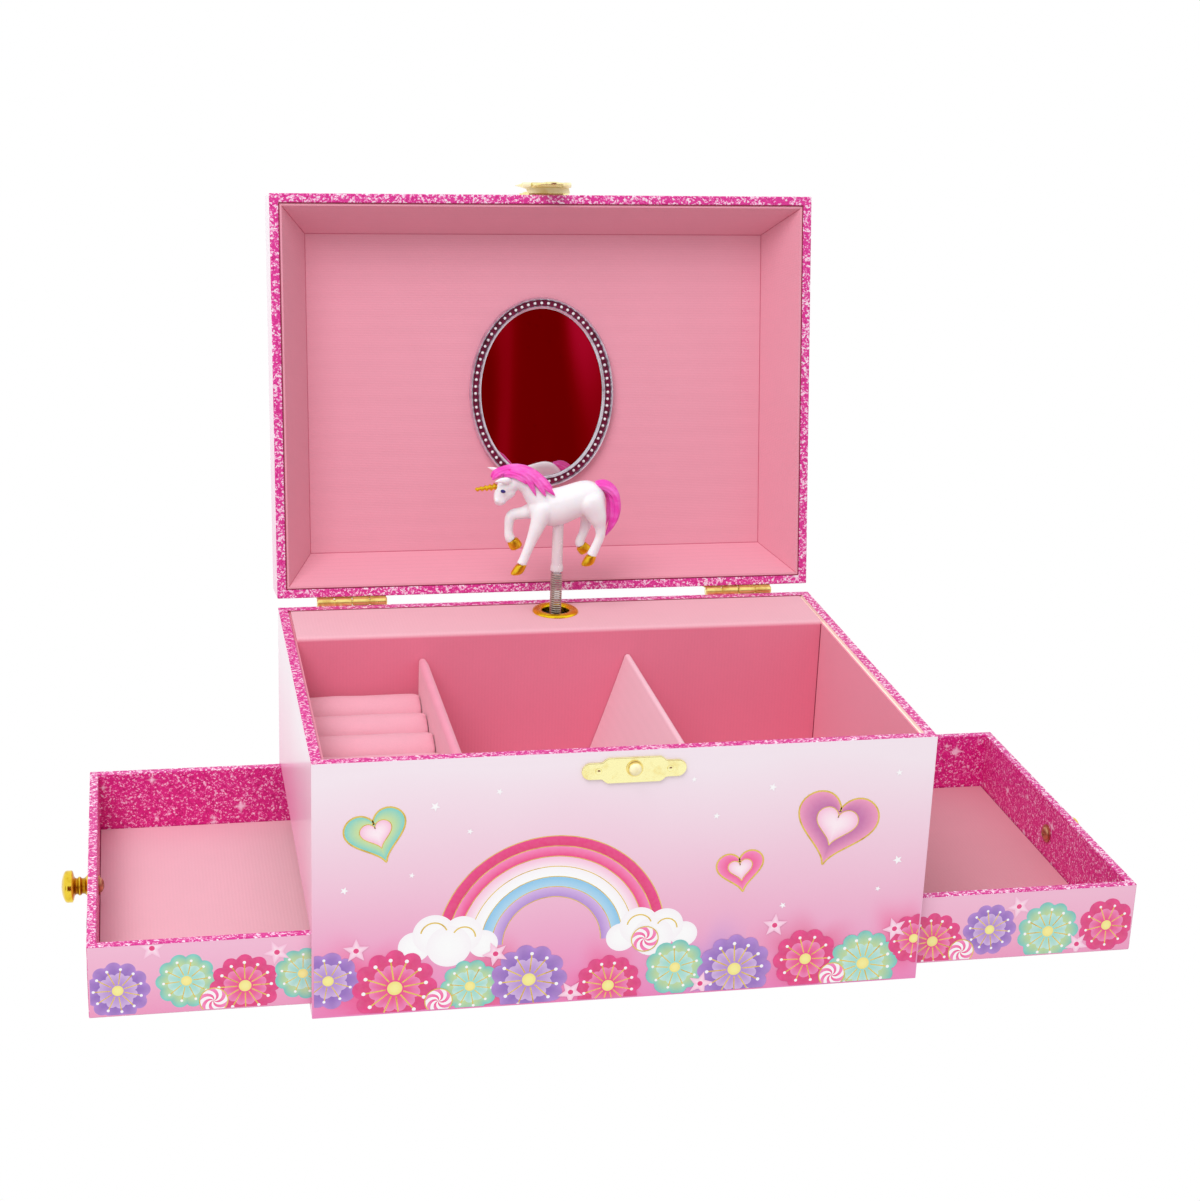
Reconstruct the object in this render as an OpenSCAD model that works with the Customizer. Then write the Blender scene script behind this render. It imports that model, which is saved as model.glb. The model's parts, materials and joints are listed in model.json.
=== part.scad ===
// Musical jewellery box: hinged lid with mirror, two side drawers, ring rolls,
// and a figure on a spring post turned by a comb-and-cylinder movement.
// Origin: centre of the underside of the case. Front faces -Y, +Z up, millimetres.

/* [Case] */
// Outside width of the case
box_w = 200; // [190:1:240]
// Outside depth of the case
box_d = 145; // [140:1:180]
// Height of the case without its lid
box_h = 87; // [87:0.5:96]
// Thickness of the wall boards
board = 3.3; // [2.8:0.1:4]
// Thickness of the base board
base_t = 2.7; // [2.2:0.1:3]
// Thickness of the card linings
card = 1.0; // [0.8:0.1:1.4]
// How far the compartment lining stops below the rim
lining_drop = 1.4; // [0.5:0.1:3]
// Thickness of the floor board over the drawers
floor_t = 2.8; // [2.2:0.1:3]

/* [Drawers] */
// Height of a drawer
drawer_h = 24.7; // [20:0.1:25.4]
// Thickness of a drawer's walls
drawer_wall = 3.0; // [2:0.1:4]
// Thickness of a drawer's bottom
drawer_floor = 2.2; // [1.6:0.1:3]
// Gap between a drawer and each side of its bay
drawer_side_gap = 1.0; // [0.4:0.1:2]
// Gap above a drawer
drawer_top_gap = 0.5; // [0.4:0.1:1]
// Thickness of the partition between the drawers
partition_t = 2.5; // [2:0.1:4]
// How far the left drawer stands out
left_out = 68.5; // [0:0.5:84]
// How far the right drawer stands out
right_out = 78.0; // [0:0.5:84]
// Radius of a knob's head
knob_r = 5.5; // [4.5:0.1:7]
// Length of a knob
knob_len = 9.2; // [8:0.1:12]

/* [Lid] */
// Angle of the open lid, from closed
lid_open = 100.6; // [90:0.1:105]
// Gap between the closed rims
lid_gap = 0.5; // [0.4:0.1:1]
// Depth of the lid's lining below its rim
lid_depth = 19.8; // [17:0.1:28]
// How far the lining tapers in from the rim to the flat panel
lid_taper = 9.5; // [6:0.1:12]
// Width of the mirror frame
mirror_w = 54.8; // [45:0.2:65]
// Height of the mirror frame
mirror_h = 71.2; // [60:0.2:85]
// Breadth of the mirror frame's moulding
mirror_band = 4.3; // [3.5:0.1:6]
// Offset of the mirror to the right of the middle
mirror_x = 1.2; // [-3:0.1:3]

/* [Hinges and clasp] */
// Width of a hinge
hinge_w = 25.4; // [20:0.1:30]
// Distance of each hinge from the middle
hinge_x = 73; // [55:1:75]
// Outer radius of a hinge's barrel
barrel_r = 1.7; // [1.4:0.05:1.8]
// Radius of the hinge pins
hinge_pin_r = 0.75; // [0.5:0.05:0.85]
// Height of a hinge leaf
leaf_h = 9; // [7:0.5:12]
// Thickness of the stamped brass
brass_t = 0.8; // [0.6:0.05:0.9]
// Width of the clasp plate
clasp_w = 33.6; // [28:0.2:40]
// Height of the clasp plate
clasp_h = 8.6; // [7:0.1:10]
// Radius of the clasp stud
stud_r = 2.3; // [1.8:0.1:2.5]

/* [Compartments] */
// Depth of the music deck from the back board
deck_d = 28.6; // [27:0.1:34]
// How far the deck lies below the rim
deck_drop = 0.4; // [0.2:0.1:1.5]
// Height of the ring rolls above the base
roll_top = 66; // [58:0.5:70]
// Number of ring rolls
roll_count = 6; // [4:1:7]
// Height of the ring rolls' card platform
platform_h = 11.5; // [6:0.5:14]
// Place of the padded divider across the box
divider_x = -51.5; // [-60:0.5:-40]
// Height of the padded divider above the base
divider_top = 78; // [66:0.5:82]
// Thickness of the padded divider
divider_t = 3.4; // [2.5:0.1:5]
// Place of the tent divider's ridge
tent_x = 23.2; // [15:0.5:30]
// Height of the tent divider's ridge above the base
tent_top = 76.4; // [66:0.5:82]
// Half the spread of the tent divider's feet
tent_foot = 15.6; // [10:0.2:20]

/* [Figure and post] */
// Distance of the post from the back board's inner face
post_back = 8.8; // [8.8:0.1:10]
// Outer radius of the coil spring
spring_r = 2.2; // [1.9:0.05:2.4]
// Radius of the spring's wire
wire_r = 0.33; // [0.25:0.01:0.36]
// Turns of the spring
spring_turns = 23; // [16:1:24]
// Height of the spring above the deck
spring_up = 15.5; // [12:0.1:20]
// Length of the clear tube from the spring to the figure's belly
tube_len = 17.7; // [14:0.1:20]
// Length of the figure's body
figure_len = 46; // [38:0.5:48]
// Radius of the gilt ring round the post
ring_r = 8.4; // [7:0.1:8.7]
// Radius of the hole in the gilt ring
ring_hole_r = 5.0; // [4:0.1:5.5]

/* [Movement] */
// Thickness of the bedplate
bedplate_t = 1.8; // [1.2:0.1:2]
// Half the width of the bedplate
bedplate_half = 22; // [22:0.5:26]
// Radius of the pinned cylinder
cylinder_r = 6.5; // [5.5:0.1:6.6]
// Length of the pinned cylinder
cylinder_len = 18.4; // [17:0.1:19]
// Number of comb teeth
comb_teeth = 18; // [12:1:18]
// Height of the cylinder's pins
pin_h = 0.45; // [0.3:0.05:0.6]
// Pins of the contrate great wheel
wheel_pins = 36; // [36:1:36]
// Pitch radius of the great wheel
wheel_r = 13; // [13:0.1:13]
// Leaves of the spindle's pinion
leaf_count = 10; // [10:1:10]
// Radius of the spindle
spindle_r = 1.0; // [0.8:0.05:1.2]
// Radius of the winding arbor
arbor_r = 1.5; // [1.2:0.05:1.7]
// Radial running clearance of the shafts
run_fit = 0.05; // [0.02:0.01:0.09]
// Span of the winding key's wings
key_span = 19; // [16:0.5:24]

/* [Hidden] */
$fn = 48;

seat = 0.3;            // rest gap between pieces that lie on or beside each other
half_w = box_w / 2;
half_d = box_d / 2;
in_w = half_w - board;             // inner face of the side boards
in_d = half_d - board;             // inner face of the front and back boards
lined_w = in_w - card;             // inner face of the side linings
lined_d = in_d - card;             // inner face of the front lining
drawer_z = base_t + seat;
bay_top = drawer_z + drawer_h + drawer_top_gap;
floor_top = bay_top + floor_t;
card_top = floor_top + card;

drawer_len = half_w - partition_t / 2 - 1.2;
drawer_half = in_d - drawer_side_gap;
knob_z = drawer_z + drawer_h / 2;
knob_neck_r = knob_r * 0.42;
screw_r = 1.4;

hinge_y = half_d + barrel_r + seat;
hinge_z = box_h + 0.6;
lid_z = box_h + lid_gap;
lid_h = lid_depth + card + board;
nail_r = 0.5;
nail_head_r = 1.1;
nail_len = 2.6;

clasp_z = box_h - 2.2 - clasp_h / 2;
clasp_x = 0.4;
stud_z = clasp_z + 0.6;
hasp_w = 20;
hasp_h = 7.4;
hasp_edge = 3.0;                   // from the lid's rim to the hasp's hinge line
hasp_pin_r = 0.45;
hasp_barrel_r = 0.95;
hasp_stand = brass_t + stud_r + 0.12;  // inner face of the flap in front of the board
hasp_axis_y = -half_d - hasp_stand - brass_t / 2;
hasp_axis_z = lid_z + hasp_edge;
flap_w = 12.5;
flap_end_z = stud_z - 3.6;

deck_z = box_h - deck_drop;
deck_under = deck_z - card;
deck_front = in_d - deck_d;
apron_back = deck_front + card;
fold_r = 1.6;
post_y = in_d - post_back;

// Height stack of the movement, from the deck down
arm_t = 0.8;
gear_t = 0.9;
arm_top_z = deck_under - 0.6 - arm_t;      // underside of the governor's upper arm
wheel_z = arm_top_z - 0.5 - gear_t;        // governor wheel
bearing_t = 1.0;
bearing_z = wheel_z - 0.4 - bearing_t;     // upper bearing of the spindle
cylinder_z = bearing_z - 0.6 - cylinder_len;
end_gear_z = cylinder_z - gear_t;
pinion_h = 2.6;
pinion_z = end_gear_z - 0.6 - pinion_h;
key_z = pinion_z + pinion_h / 2 - wheel_r;
bed_y = in_d - bedplate_t;                 // front face of the bedplate
disc_t = 1.4;
disc_y = bed_y - 0.5 - disc_t;             // front face of the great wheel's disc
contrate_pin_r = 0.45;
pin_tip_y = post_y + 2.9;
wheel_rim = wheel_r + 0.8;
pinion_tip_r = 4.2;
pinion_root_r = 2.5;
leaf_w = 0.6;
housing_r = 10;
housing_wall = 0.8;
housing_len = 11.5;
housing_back = disc_y - seat;
housing_front = housing_back - housing_len;
boss_r = 2;
boss_top = pinion_z - seat;
pivot_r = 0.6;
bridge_post_x = wheel_rim + 0.4 + 1.6;
bed_bottom = key_z - wheel_rim;
bed_top = arm_top_z + arm_t;
window_half = 9;
screw_sites = [for (x = [-1, 1]) for (z = [key_z - 9, bed_top - 2.4]) [x * (bedplate_half - 3.4), z]];
bed_screw_r = 1.1;

// Governor train: module, teeth and centre distances
gov_module = 0.5;
end_gear_teeth = 28;
gov_pinion_teeth = 8;
gov_wheel_module = 0.4;
gov_wheel_teeth = 24;
fly_pinion_teeth = 8;
gov_x = -gov_module * (end_gear_teeth + gov_pinion_teeth) / 2;
fly_x = gov_x - gov_wheel_module * (gov_wheel_teeth + fly_pinion_teeth) / 2;
gov_arbor_r = 0.6;
gov_end = 3.2;                              // how far the bracket reaches past the fly's arbor

comb_t = 0.8;
comb_tip_x = cylinder_r + pin_h + 0.15;
comb_root_x = comb_tip_x + 9;
comb_base_w = 5;
comb_pitch = (cylinder_len - 0.8) / comb_teeth;
comb_screw_r = 0.9;
comb_screw_sites = [for (k = [0.2, 0.8]) cylinder_z + k * cylinder_len];

spring_low = deck_z - 2.0;
spring_top = deck_z + spring_up;
collar_top = spring_low - seat;

platform_top = card_top + platform_h;
roll_left = -lined_w + seat;
roll_right = divider_x - divider_t / 2 - seat;
roll_front = -lined_d + seat;
roll_back = deck_front - seat;
roll_pitch = (roll_back - roll_front) / roll_count;

// ---------- helpers ----------
module block(x, y, z) {
    translate([x[0], y[0], z[0]]) cube([x[1] - x[0], y[1] - y[0], z[1] - z[0]]);
}

// Profile drawn as (Y, Z), carried from x0 to x1
module along_x(x0, x1) {
    translate([x0, 0, 0]) rotate([90, 0, 90]) linear_extrude(x1 - x0) children();
}

// Profile drawn as (X, Z), carried from y0 to y1
module along_y(y0, y1) {
    translate([0, y1, 0]) rotate([90, 0, 0]) linear_extrude(y1 - y0) children();
}

// Cylinder whose axis runs along Y, from y0 to y1
module rod_y(x, z, r, y0, y1) {
    translate([x, y1, z]) rotate([90, 0, 0]) cylinder(r = r, h = y1 - y0);
}

// Cylinder whose axis runs along X, from x0 to x1
module rod_x(y, z, r, x0, x1) {
    translate([x0, y, z]) rotate([0, 90, 0]) cylinder(r = r, h = x1 - x0);
}

// Cylinder whose axis runs along Z, from z0 to z1
module rod_z(x, y, r, z0, z1) {
    translate([x, y, z0]) cylinder(r = r, h = z1 - z0);
}

function arc(cx, cy, r, a0, a1, n) =
    [for (i = [0:n]) let (a = a0 + (a1 - a0) * i / n) [cx + r * cos(a), cy + r * sin(a)]];

// Lid pieces are drawn closed and swung open about the hinge pins
module lid_place() {
    translate([0, hinge_y, hinge_z]) rotate([-lid_open, 0, 0]) translate([0, -hinge_y, -hinge_z]) children();
}

// Drawer pieces are drawn for the closed left drawer
module left_place() {
    translate([-left_out, 0, 0]) children();
}

module right_place() {
    translate([right_out, 0, 0]) mirror([1, 0, 0]) children();
}

// ---------- nails ----------
hinge_nail_x = [for (s = [-1, 1]) for (k = [-1, 1]) s * hinge_x + k * hinge_w * 0.27];
clasp_nail_x = [for (s = [-1, 1]) clasp_x + s * (clasp_w / 2 - 5.3)];
hasp_nail_x = [for (s = [-1, 1]) clasp_x + s * (hasp_w / 2 - 3)];
case_leaf_mid = hinge_z - barrel_r - seat - leaf_h / 2;
lid_leaf_mid = hinge_z + barrel_r + seat + leaf_h / 2;
hasp_mid_z = hasp_axis_z + hasp_barrel_r + seat + hasp_h / 2;

// A round-headed nail driven along +Y (side = 1) or -Y (side = -1) from a face at y
module nail(x, z, y, side, grow = 0) {
    rod_y(x, z, nail_r + grow, min(y, y + side * nail_len), max(y, y + side * nail_len));
    if (grow == 0) translate([x, y, z]) rotate([side * 90, 0, 0]) nail_head();
}

module nail_head() {
    rotate_extrude() polygon(concat([[0, 0], [nail_head_r, 0]],
        [for (a = [15:25:90]) [nail_head_r * cos(a), 0.6 * sin(a)]]));
}

module case_nail_set(grow) {
    for (x = hinge_nail_x) nail(x, case_leaf_mid, half_d + brass_t, -1, grow);
    for (x = clasp_nail_x) nail(x, clasp_z, -half_d - brass_t, 1, grow);
}

module lid_nail_set(grow) {
    for (x = hinge_nail_x) nail(x, lid_leaf_mid, half_d + brass_t, -1, grow);
    for (x = hasp_nail_x) nail(x, hasp_mid_z, -half_d - brass_t, 1, grow);
}

// ---------- case ----------
module front_board() {
    color("hotpink") difference() {
        block([-half_w, half_w], [-half_d, -in_d], [0, box_h]);
        case_nail_set(run_fit);
        rod_y(clasp_x, stud_z, 0.7 + run_fit, -half_d - 1, -in_d + 1);
    }
}

module back_board() {
    color("hotpink") difference() {
        block([-half_w, half_w], [in_d, half_d], [0, box_h]);
        case_nail_set(run_fit);
        rod_y(0, key_z, arbor_r + 2, in_d - 1, half_d + 1);
        for (s = screw_sites) rod_y(s[0], s[1], bed_screw_r + run_fit, in_d - 1, half_d + 1);
    }
}

module side_board(s) {
    color("pink") block([min(s * in_w, s * half_w), max(s * in_w, s * half_w)], [-in_d, in_d],
        [bay_top, box_h]);
}

module left_board() {
    side_board(-1);
}

module right_board() {
    side_board(1);
}

module base_board() {
    color("pink") block([-half_w, half_w], [-in_d, in_d], [0, base_t]);
}

module floor_board() {
    color("tan") block([-in_w, in_w], [-in_d, in_d], [bay_top, floor_top]);
}

module drawer_partition() {
    color("tan") block([-partition_t / 2, partition_t / 2], [-in_d, in_d], [base_t, bay_top]);
}

module compartment_lining() {
    color("lightpink") difference() {
        block([-in_w, in_w], [-in_d, in_d], [floor_top, box_h - lining_drop]);
        block([-lined_w, lined_w], [-lined_d, in_d + 1], [floor_top - 1, box_h]);
    }
}

module floor_card() {
    color("lightpink") block([-lined_w + seat, lined_w - seat], [-lined_d + seat, deck_front - seat],
        [floor_top, card_top]);
}

module music_deck() {
    color("lightpink") difference() {
        along_x(-lined_w, lined_w) polygon(concat(
            [[in_d, deck_under], [in_d, deck_z]],
            arc(deck_front + fold_r, deck_z - fold_r, fold_r, 90, 180, 6),
            [[deck_front, floor_top], [apron_back, floor_top]],
            arc(apron_back + fold_r - card, deck_under - fold_r + card, fold_r - card, 180, 90, 3)));
        rod_z(0, post_y, ring_hole_r + 1 + run_fit, deck_under - 1, deck_z + 1);
    }
}

module padded_divider() {
    color("pink") along_y(-lined_d + seat, deck_front - seat) polygon(concat(
        [[divider_x - divider_t / 2, card_top], [divider_x + divider_t / 2, card_top]],
        arc(divider_x, divider_top - divider_t / 2, divider_t / 2, 0, 180, 12)));
}

module tent_divider() {
    rise = tent_top - card_top;
    slope = atan2(rise, tent_foot);
    wall = card / sin(slope);
    color("pink") along_y(-lined_d + seat, deck_front - seat) polygon(concat(
        [[tent_x + tent_foot - wall, card_top], [tent_x + tent_foot, card_top]],
        arc(tent_x, tent_top - 0.8, 0.8, 90 - slope, 90 + slope, 6),
        [[tent_x - tent_foot, card_top], [tent_x - tent_foot + wall, card_top],
         [tent_x, tent_top - card / cos(slope)]]));
}

module ring_platform() {
    color("lightpink") difference() {
        block([roll_left, roll_right], [roll_front, roll_back], [card_top, platform_top]);
        block([roll_left - 1, roll_right + 1], [roll_front + card, roll_back - card],
            [card_top - 1, platform_top - card]);
    }
}

module ring_rolls() {
    roll_w = roll_pitch - 0.4;
    color("pink") for (i = [0:roll_count - 1]) {
        mid = roll_front + (i + 0.5) * roll_pitch;
        along_x(roll_left, roll_right) polygon(concat(
            [[mid - roll_w / 2, platform_top], [mid + roll_w / 2, platform_top]],
            arc(mid, roll_top - roll_w / 2, roll_w / 2, 0, 180, 16)));
    }
}

module deck_ring() {
    color("gold") translate([0, post_y, deck_z]) rotate_extrude($fn = 72) polygon(concat(
        [[ring_hole_r, -card - 0.6], [ring_hole_r + 1, -card - 0.6], [ring_hole_r + 1, 0], [ring_r, 0]],
        [for (i = [1:8]) let (a = i * 180 / 9)
            [(ring_r + ring_hole_r) / 2 + (ring_r - ring_hole_r) / 2 * cos(a), 1.1 * sin(a)]],
        [[ring_hole_r, 0]]));
}

// ---------- clasp and hinges ----------
// Stepped plate with chamfered shoulders and rounded lobes at both ends
module clasp_outline(w, h) {
    block_w = w * 0.55;
    lobe_r = h * 0.34;
    polygon([for (s = [[1, 1], [-1, 1], [-1, -1], [1, -1]])
        let (pts = [[block_w / 2 + 1.6, h * 0.34], [block_w / 2, h / 2]])
        each (s[0] * s[1] > 0 ? [for (p = pts) [p[0] * s[0], p[1] * s[1]]]
            : [for (i = [1:-1:0]) [pts[i][0] * s[0], pts[i][1] * s[1]]])]);
    for (s = [-1, 1]) {
        translate([s * (w / 2 - lobe_r), 0]) circle(lobe_r, $fn = 32);
        translate([s > 0 ? 0 : -w / 2 + lobe_r, -lobe_r]) square([w / 2 - lobe_r, lobe_r * 2]);
    }
}

module clasp_plate() {
    color("gold") difference() {
        translate([clasp_x, 0, clasp_z]) along_y(-half_d - brass_t, -half_d) clasp_outline(clasp_w, clasp_h);
        case_nail_set(run_fit);
        rod_y(clasp_x, stud_z, 0.7 + run_fit, -half_d - brass_t - 1, -half_d + 1);
    }
}

// Low domed stud on a rivet through the plate and the board
module clasp_stud() {
    color("gold") translate([clasp_x, -half_d - brass_t, stud_z]) rotate([90, 0, 0]) {
        translate([0, 0, -brass_t - board * 0.8]) cylinder(r = 0.7, h = brass_t + board * 0.8);
        rotate_extrude() polygon(concat([[0, 0], [stud_r - 0.5, 0]], arc(0, 0, stud_r, 20, 90, 7)));
    }
}

module case_nails() {
    color("gold") case_nail_set(0);
}

// One hinge leaf: plate on the back face, with a half-width barrel round the pin.
// dir = -1 hangs the plate below the pin, +1 stands it above.
module hinge_leaf(x, dir, barrel_side) {
    far = hinge_z + dir * (barrel_r + seat + leaf_h);
    near = hinge_z + dir * (barrel_r + seat);
    own0 = barrel_side < 0 ? -hinge_w / 2 : 0.15;
    own1 = barrel_side < 0 ? -0.15 : hinge_w / 2;
    difference() {
        union() {
            block([x - hinge_w / 2, x + hinge_w / 2], [half_d, half_d + brass_t], [min(far, near), max(far, near)]);
            block([x + own0, x + own1], [half_d, half_d + brass_t],
                [min(near, hinge_z + dir * 0.3), max(near, hinge_z + dir * 0.3)]);
            rod_x(hinge_y, hinge_z, barrel_r, x + own0, x + own1);
        }
        rod_x(hinge_y, hinge_z, hinge_pin_r + run_fit, x - hinge_w, x + hinge_w);
    }
}

module hinge_case_leaves() {
    color("goldenrod") difference() {
        for (s = [-1, 1]) hinge_leaf(s * hinge_x, -1, -1);
        case_nail_set(run_fit);
    }
}

module hinge_pins() {
    color("darkgoldenrod") for (s = [-1, 1])
        rod_x(hinge_y, hinge_z, hinge_pin_r, s * hinge_x - hinge_w / 2, s * hinge_x + hinge_w / 2);
}

// ---------- lid (drawn closed, swung open by lid_place) ----------
module frustum(w0, d0, w1, d1, z0, z1) {
    polyhedron(
        points = [for (k = [[w0, d0, z0], [w1, d1, z1]]) for (c = [[-1, -1], [1, -1], [1, 1], [-1, 1]])
            [c[0] * k[0], c[1] * k[1], k[2]]],
        faces = [[0, 1, 2, 3], [7, 6, 5, 4], [0, 4, 5, 1], [1, 5, 6, 2], [2, 6, 7, 3], [3, 7, 4, 0]]);
}

module lid_shell() {
    color("hotpink") lid_place() difference() {
        block([-half_w, half_w], [-half_d, half_d], [lid_z, lid_z + lid_h]);
        block([-in_w, in_w], [-in_d, in_d], [lid_z - 1, lid_z + lid_depth + card]);
        lid_nail_set(run_fit);
    }
}

module lid_lining() {
    over = 1;
    top = lid_z + lid_depth;
    k = lid_taper / (lid_depth - seat);
    color("pink") lid_place() difference() {
        frustum(in_w, in_d, in_w - lid_taper, in_d - lid_taper, lid_z + seat, top);
        frustum(lined_w + over * k, lined_d + over * k, lined_w - lid_taper - over * k,
            lined_d - lid_taper - over * k, lid_z + seat - over, top + over);
    }
}

module lid_panel() {
    color("pink") lid_place() block([-in_w, in_w], [-in_d, in_d], [lid_z + lid_depth, lid_z + lid_depth + card]);
}

function ellipse(a, b, n = 72) = [for (i = [0:n - 1]) [a * cos(i * 360 / n), b * sin(i * 360 / n)]];

// Oval ring of the mirror frame, from inset0 to inset1 inside the outer edge
module oval_ring(inset0, inset1, z0, z1) {
    translate([0, 0, z0]) linear_extrude(z1 - z0) difference() {
        polygon(ellipse(mirror_w / 2 - inset0, mirror_h / 2 - inset0));
        polygon(ellipse(mirror_w / 2 - inset1, mirror_h / 2 - inset1));
    }
}

// The mirror hangs on the panel, so its own +Z points down out of the closed lid
module mirror_place() {
    lid_place() translate([mirror_x, 0, lid_z + lid_depth]) rotate([180, 0, 0]) children();
}

module mirror_frame() {
    color("silver") mirror_place() union() {
        oval_ring(0.5, mirror_band, 0, 1.5);
        oval_ring(0, 1.0, 0, 2.6);
        oval_ring(0.3, 0.8, 0, 3.0);
        oval_ring(mirror_band - 1.1, mirror_band, 0, 2.5);
        oval_ring(mirror_band - 0.8, mirror_band - 0.3, 0, 2.8);
    }
}

module mirror_glass() {
    gap = mirror_band + 0.05;
    color("lightblue") mirror_place() linear_extrude(1.2)
        polygon(ellipse(mirror_w / 2 - gap, mirror_h / 2 - gap));
}

module hinge_lid_leaves() {
    color("goldenrod") lid_place() difference() {
        for (s = [-1, 1]) hinge_leaf(s * hinge_x, 1, 1);
        lid_nail_set(run_fit);
    }
}

module lid_nails() {
    color("gold") lid_place() lid_nail_set(0);
}

// Hasp base: lobed plate, with two side knuckles carried forward to the hinge line
module hasp_base() {
    knuckle_w = 2.4;
    foot = hasp_axis_z + hasp_barrel_r + seat;
    color("gold") lid_place() difference() {
        union() {
            translate([clasp_x, 0, hasp_mid_z]) along_y(-half_d - brass_t, -half_d) clasp_outline(hasp_w, hasp_h);
            for (s = [-1, 1]) {
                x0 = clasp_x + s * (flap_w / 2 + 0.2) - (s < 0 ? knuckle_w : 0);
                block([x0, x0 + knuckle_w], [hasp_axis_y, -half_d], [hasp_axis_z, foot + 1.2]);
                rod_x(hasp_axis_y, hasp_axis_z, hasp_barrel_r, x0, x0 + knuckle_w);
            }
        }
        rod_x(hasp_axis_y, hasp_axis_z, hasp_pin_r + run_fit, clasp_x - hasp_w, clasp_x + hasp_w);
        lid_nail_set(run_fit);
    }
}

module hasp_pin() {
    reach = flap_w / 2 + 0.2 + 2.4;
    color("gold") lid_place() rod_x(hasp_axis_y, hasp_axis_z, hasp_pin_r, clasp_x - reach, clasp_x + reach);
}

// Hasp flap: barrel, tapering tongue with the stud's hole, and a lip flared outwards
module hasp_flap() {
    inner = hasp_axis_y + brass_t / 2;
    lip = 2.6;
    color("gold") lid_place() difference() {
        union() {
            rod_x(hasp_axis_y, hasp_axis_z, hasp_barrel_r, clasp_x - flap_w / 2, clasp_x + flap_w / 2);
            translate([clasp_x, 0, 0]) along_y(inner - brass_t, inner) polygon([
                [-flap_w / 2, hasp_axis_z], [-flap_w / 2, stud_z + 3], [-flap_w / 2 + 2.2, flap_end_z + 1],
                [-flap_w / 2 + 3.6, flap_end_z], [flap_w / 2 - 3.6, flap_end_z],
                [flap_w / 2 - 2.2, flap_end_z + 1], [flap_w / 2, stud_z + 3], [flap_w / 2, hasp_axis_z]]);
            along_x(clasp_x - flap_w / 2 + 3.6, clasp_x + flap_w / 2 - 3.6) polygon([
                [inner, flap_end_z + 0.3], [inner - lip * 0.5, flap_end_z - lip * 0.8],
                [inner - lip * 0.5 - brass_t, flap_end_z - lip * 0.6], [inner - brass_t, flap_end_z + 0.6]]);
        }
        rod_x(hasp_axis_y, hasp_axis_z, hasp_pin_r + run_fit, clasp_x - flap_w, clasp_x + flap_w);
        rod_y(clasp_x, stud_z, stud_r - 0.25, inner - brass_t - 1, inner + 1);
    }
}

// ---------- drawers (drawn as the closed left drawer) ----------
module drawer_tray() {
    x0 = -half_w;
    x1 = -half_w + drawer_len;
    difference() {
        block([x0, x1], [-drawer_half, drawer_half], [drawer_z, drawer_z + drawer_h]);
        block([x0 + drawer_wall, x1 - drawer_wall], [-drawer_half + drawer_wall, drawer_half - drawer_wall],
            [drawer_z + drawer_floor, drawer_z + drawer_h + 1]);
        rod_x(0, knob_z, screw_r + run_fit, x0 - 1, x0 + drawer_wall + 1);
    }
}

module drawer_card() {
    edge = drawer_wall + seat;
    block([-half_w + edge, -half_w + drawer_len - edge], [-drawer_half + edge, drawer_half - edge],
        [drawer_z + drawer_floor, drawer_z + drawer_floor + card * 0.8]);
}

// Turned knob: foot, waist and mushroom head, bored for its screw
module knob() {
    translate([-half_w, 0, knob_z]) rotate([0, -90, 0]) rotate_extrude() polygon(concat(
        [[screw_r + run_fit, 0], [knob_r * 0.68, 0], [knob_r * 0.68, 0.9], [knob_neck_r + 0.5, 1.5],
         [knob_neck_r, 2.6], [knob_neck_r + 0.4, 3.8], [knob_r * 0.8, 4.6]],
        arc(knob_r * 0.72, 5.9, knob_r * 0.28, -60, 60, 5),
        arc(0, knob_len - knob_r * 0.9, knob_r * 0.9, 38, 90, 5),
        [[0, knob_len * 0.62], [screw_r + run_fit, knob_len * 0.62]]));
}

module knob_screw() {
    head_x = -half_w + drawer_wall;
    rod_x(0, knob_z, screw_r, -half_w - knob_len * 0.6, head_x);
    rod_x(0, knob_z, 3.3, head_x, head_x + 0.6);
    difference() {
        translate([head_x + 0.6, 0, knob_z]) rotate([0, 90, 0]) rotate_extrude()
            polygon(concat([[0, 0], [2.5, 0]], [for (a = [20:20:80]) [2.5 * cos(a), 1.3 * sin(a)]], [[0, 1.3]]));
        for (a = [0, 90]) translate([head_x + 1.3, 0, knob_z]) rotate([a, 0, 0])
            block([0, 2], [-0.3, 0.3], [-1.5, 1.5]);
    }
}

module left_drawer_tray() {
    color("deeppink") left_place() drawer_tray();
}

module left_drawer_card() {
    color("lightpink") left_place() drawer_card();
}

module left_knob() {
    color("gold") left_place() knob();
}

module left_knob_screw() {
    color("gold") left_place() knob_screw();
}

module right_drawer_tray() {
    color("deeppink") right_place() drawer_tray();
}

module right_drawer_card() {
    color("lightpink") right_place() drawer_card();
}

module right_knob() {
    color("gold") right_place() knob();
}

module right_knob_screw() {
    color("gold") right_place() knob_screw();
}

// ---------- music movement ----------
// Involute flank: polar angle at radius r on base circle rb
function roll_off(r, rb) = r <= rb ? 0 :
    let (t = sqrt(pow(r / rb, 2) - 1)) t * 180 / PI - atan(t);

function tooth_half(r, n, m, slack) =
    let (rp = m * n / 2, rb = rp * cos(20))
    90 / n - slack / rp * 180 / PI + roll_off(rp, rb) - roll_off(r, rb);

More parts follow.
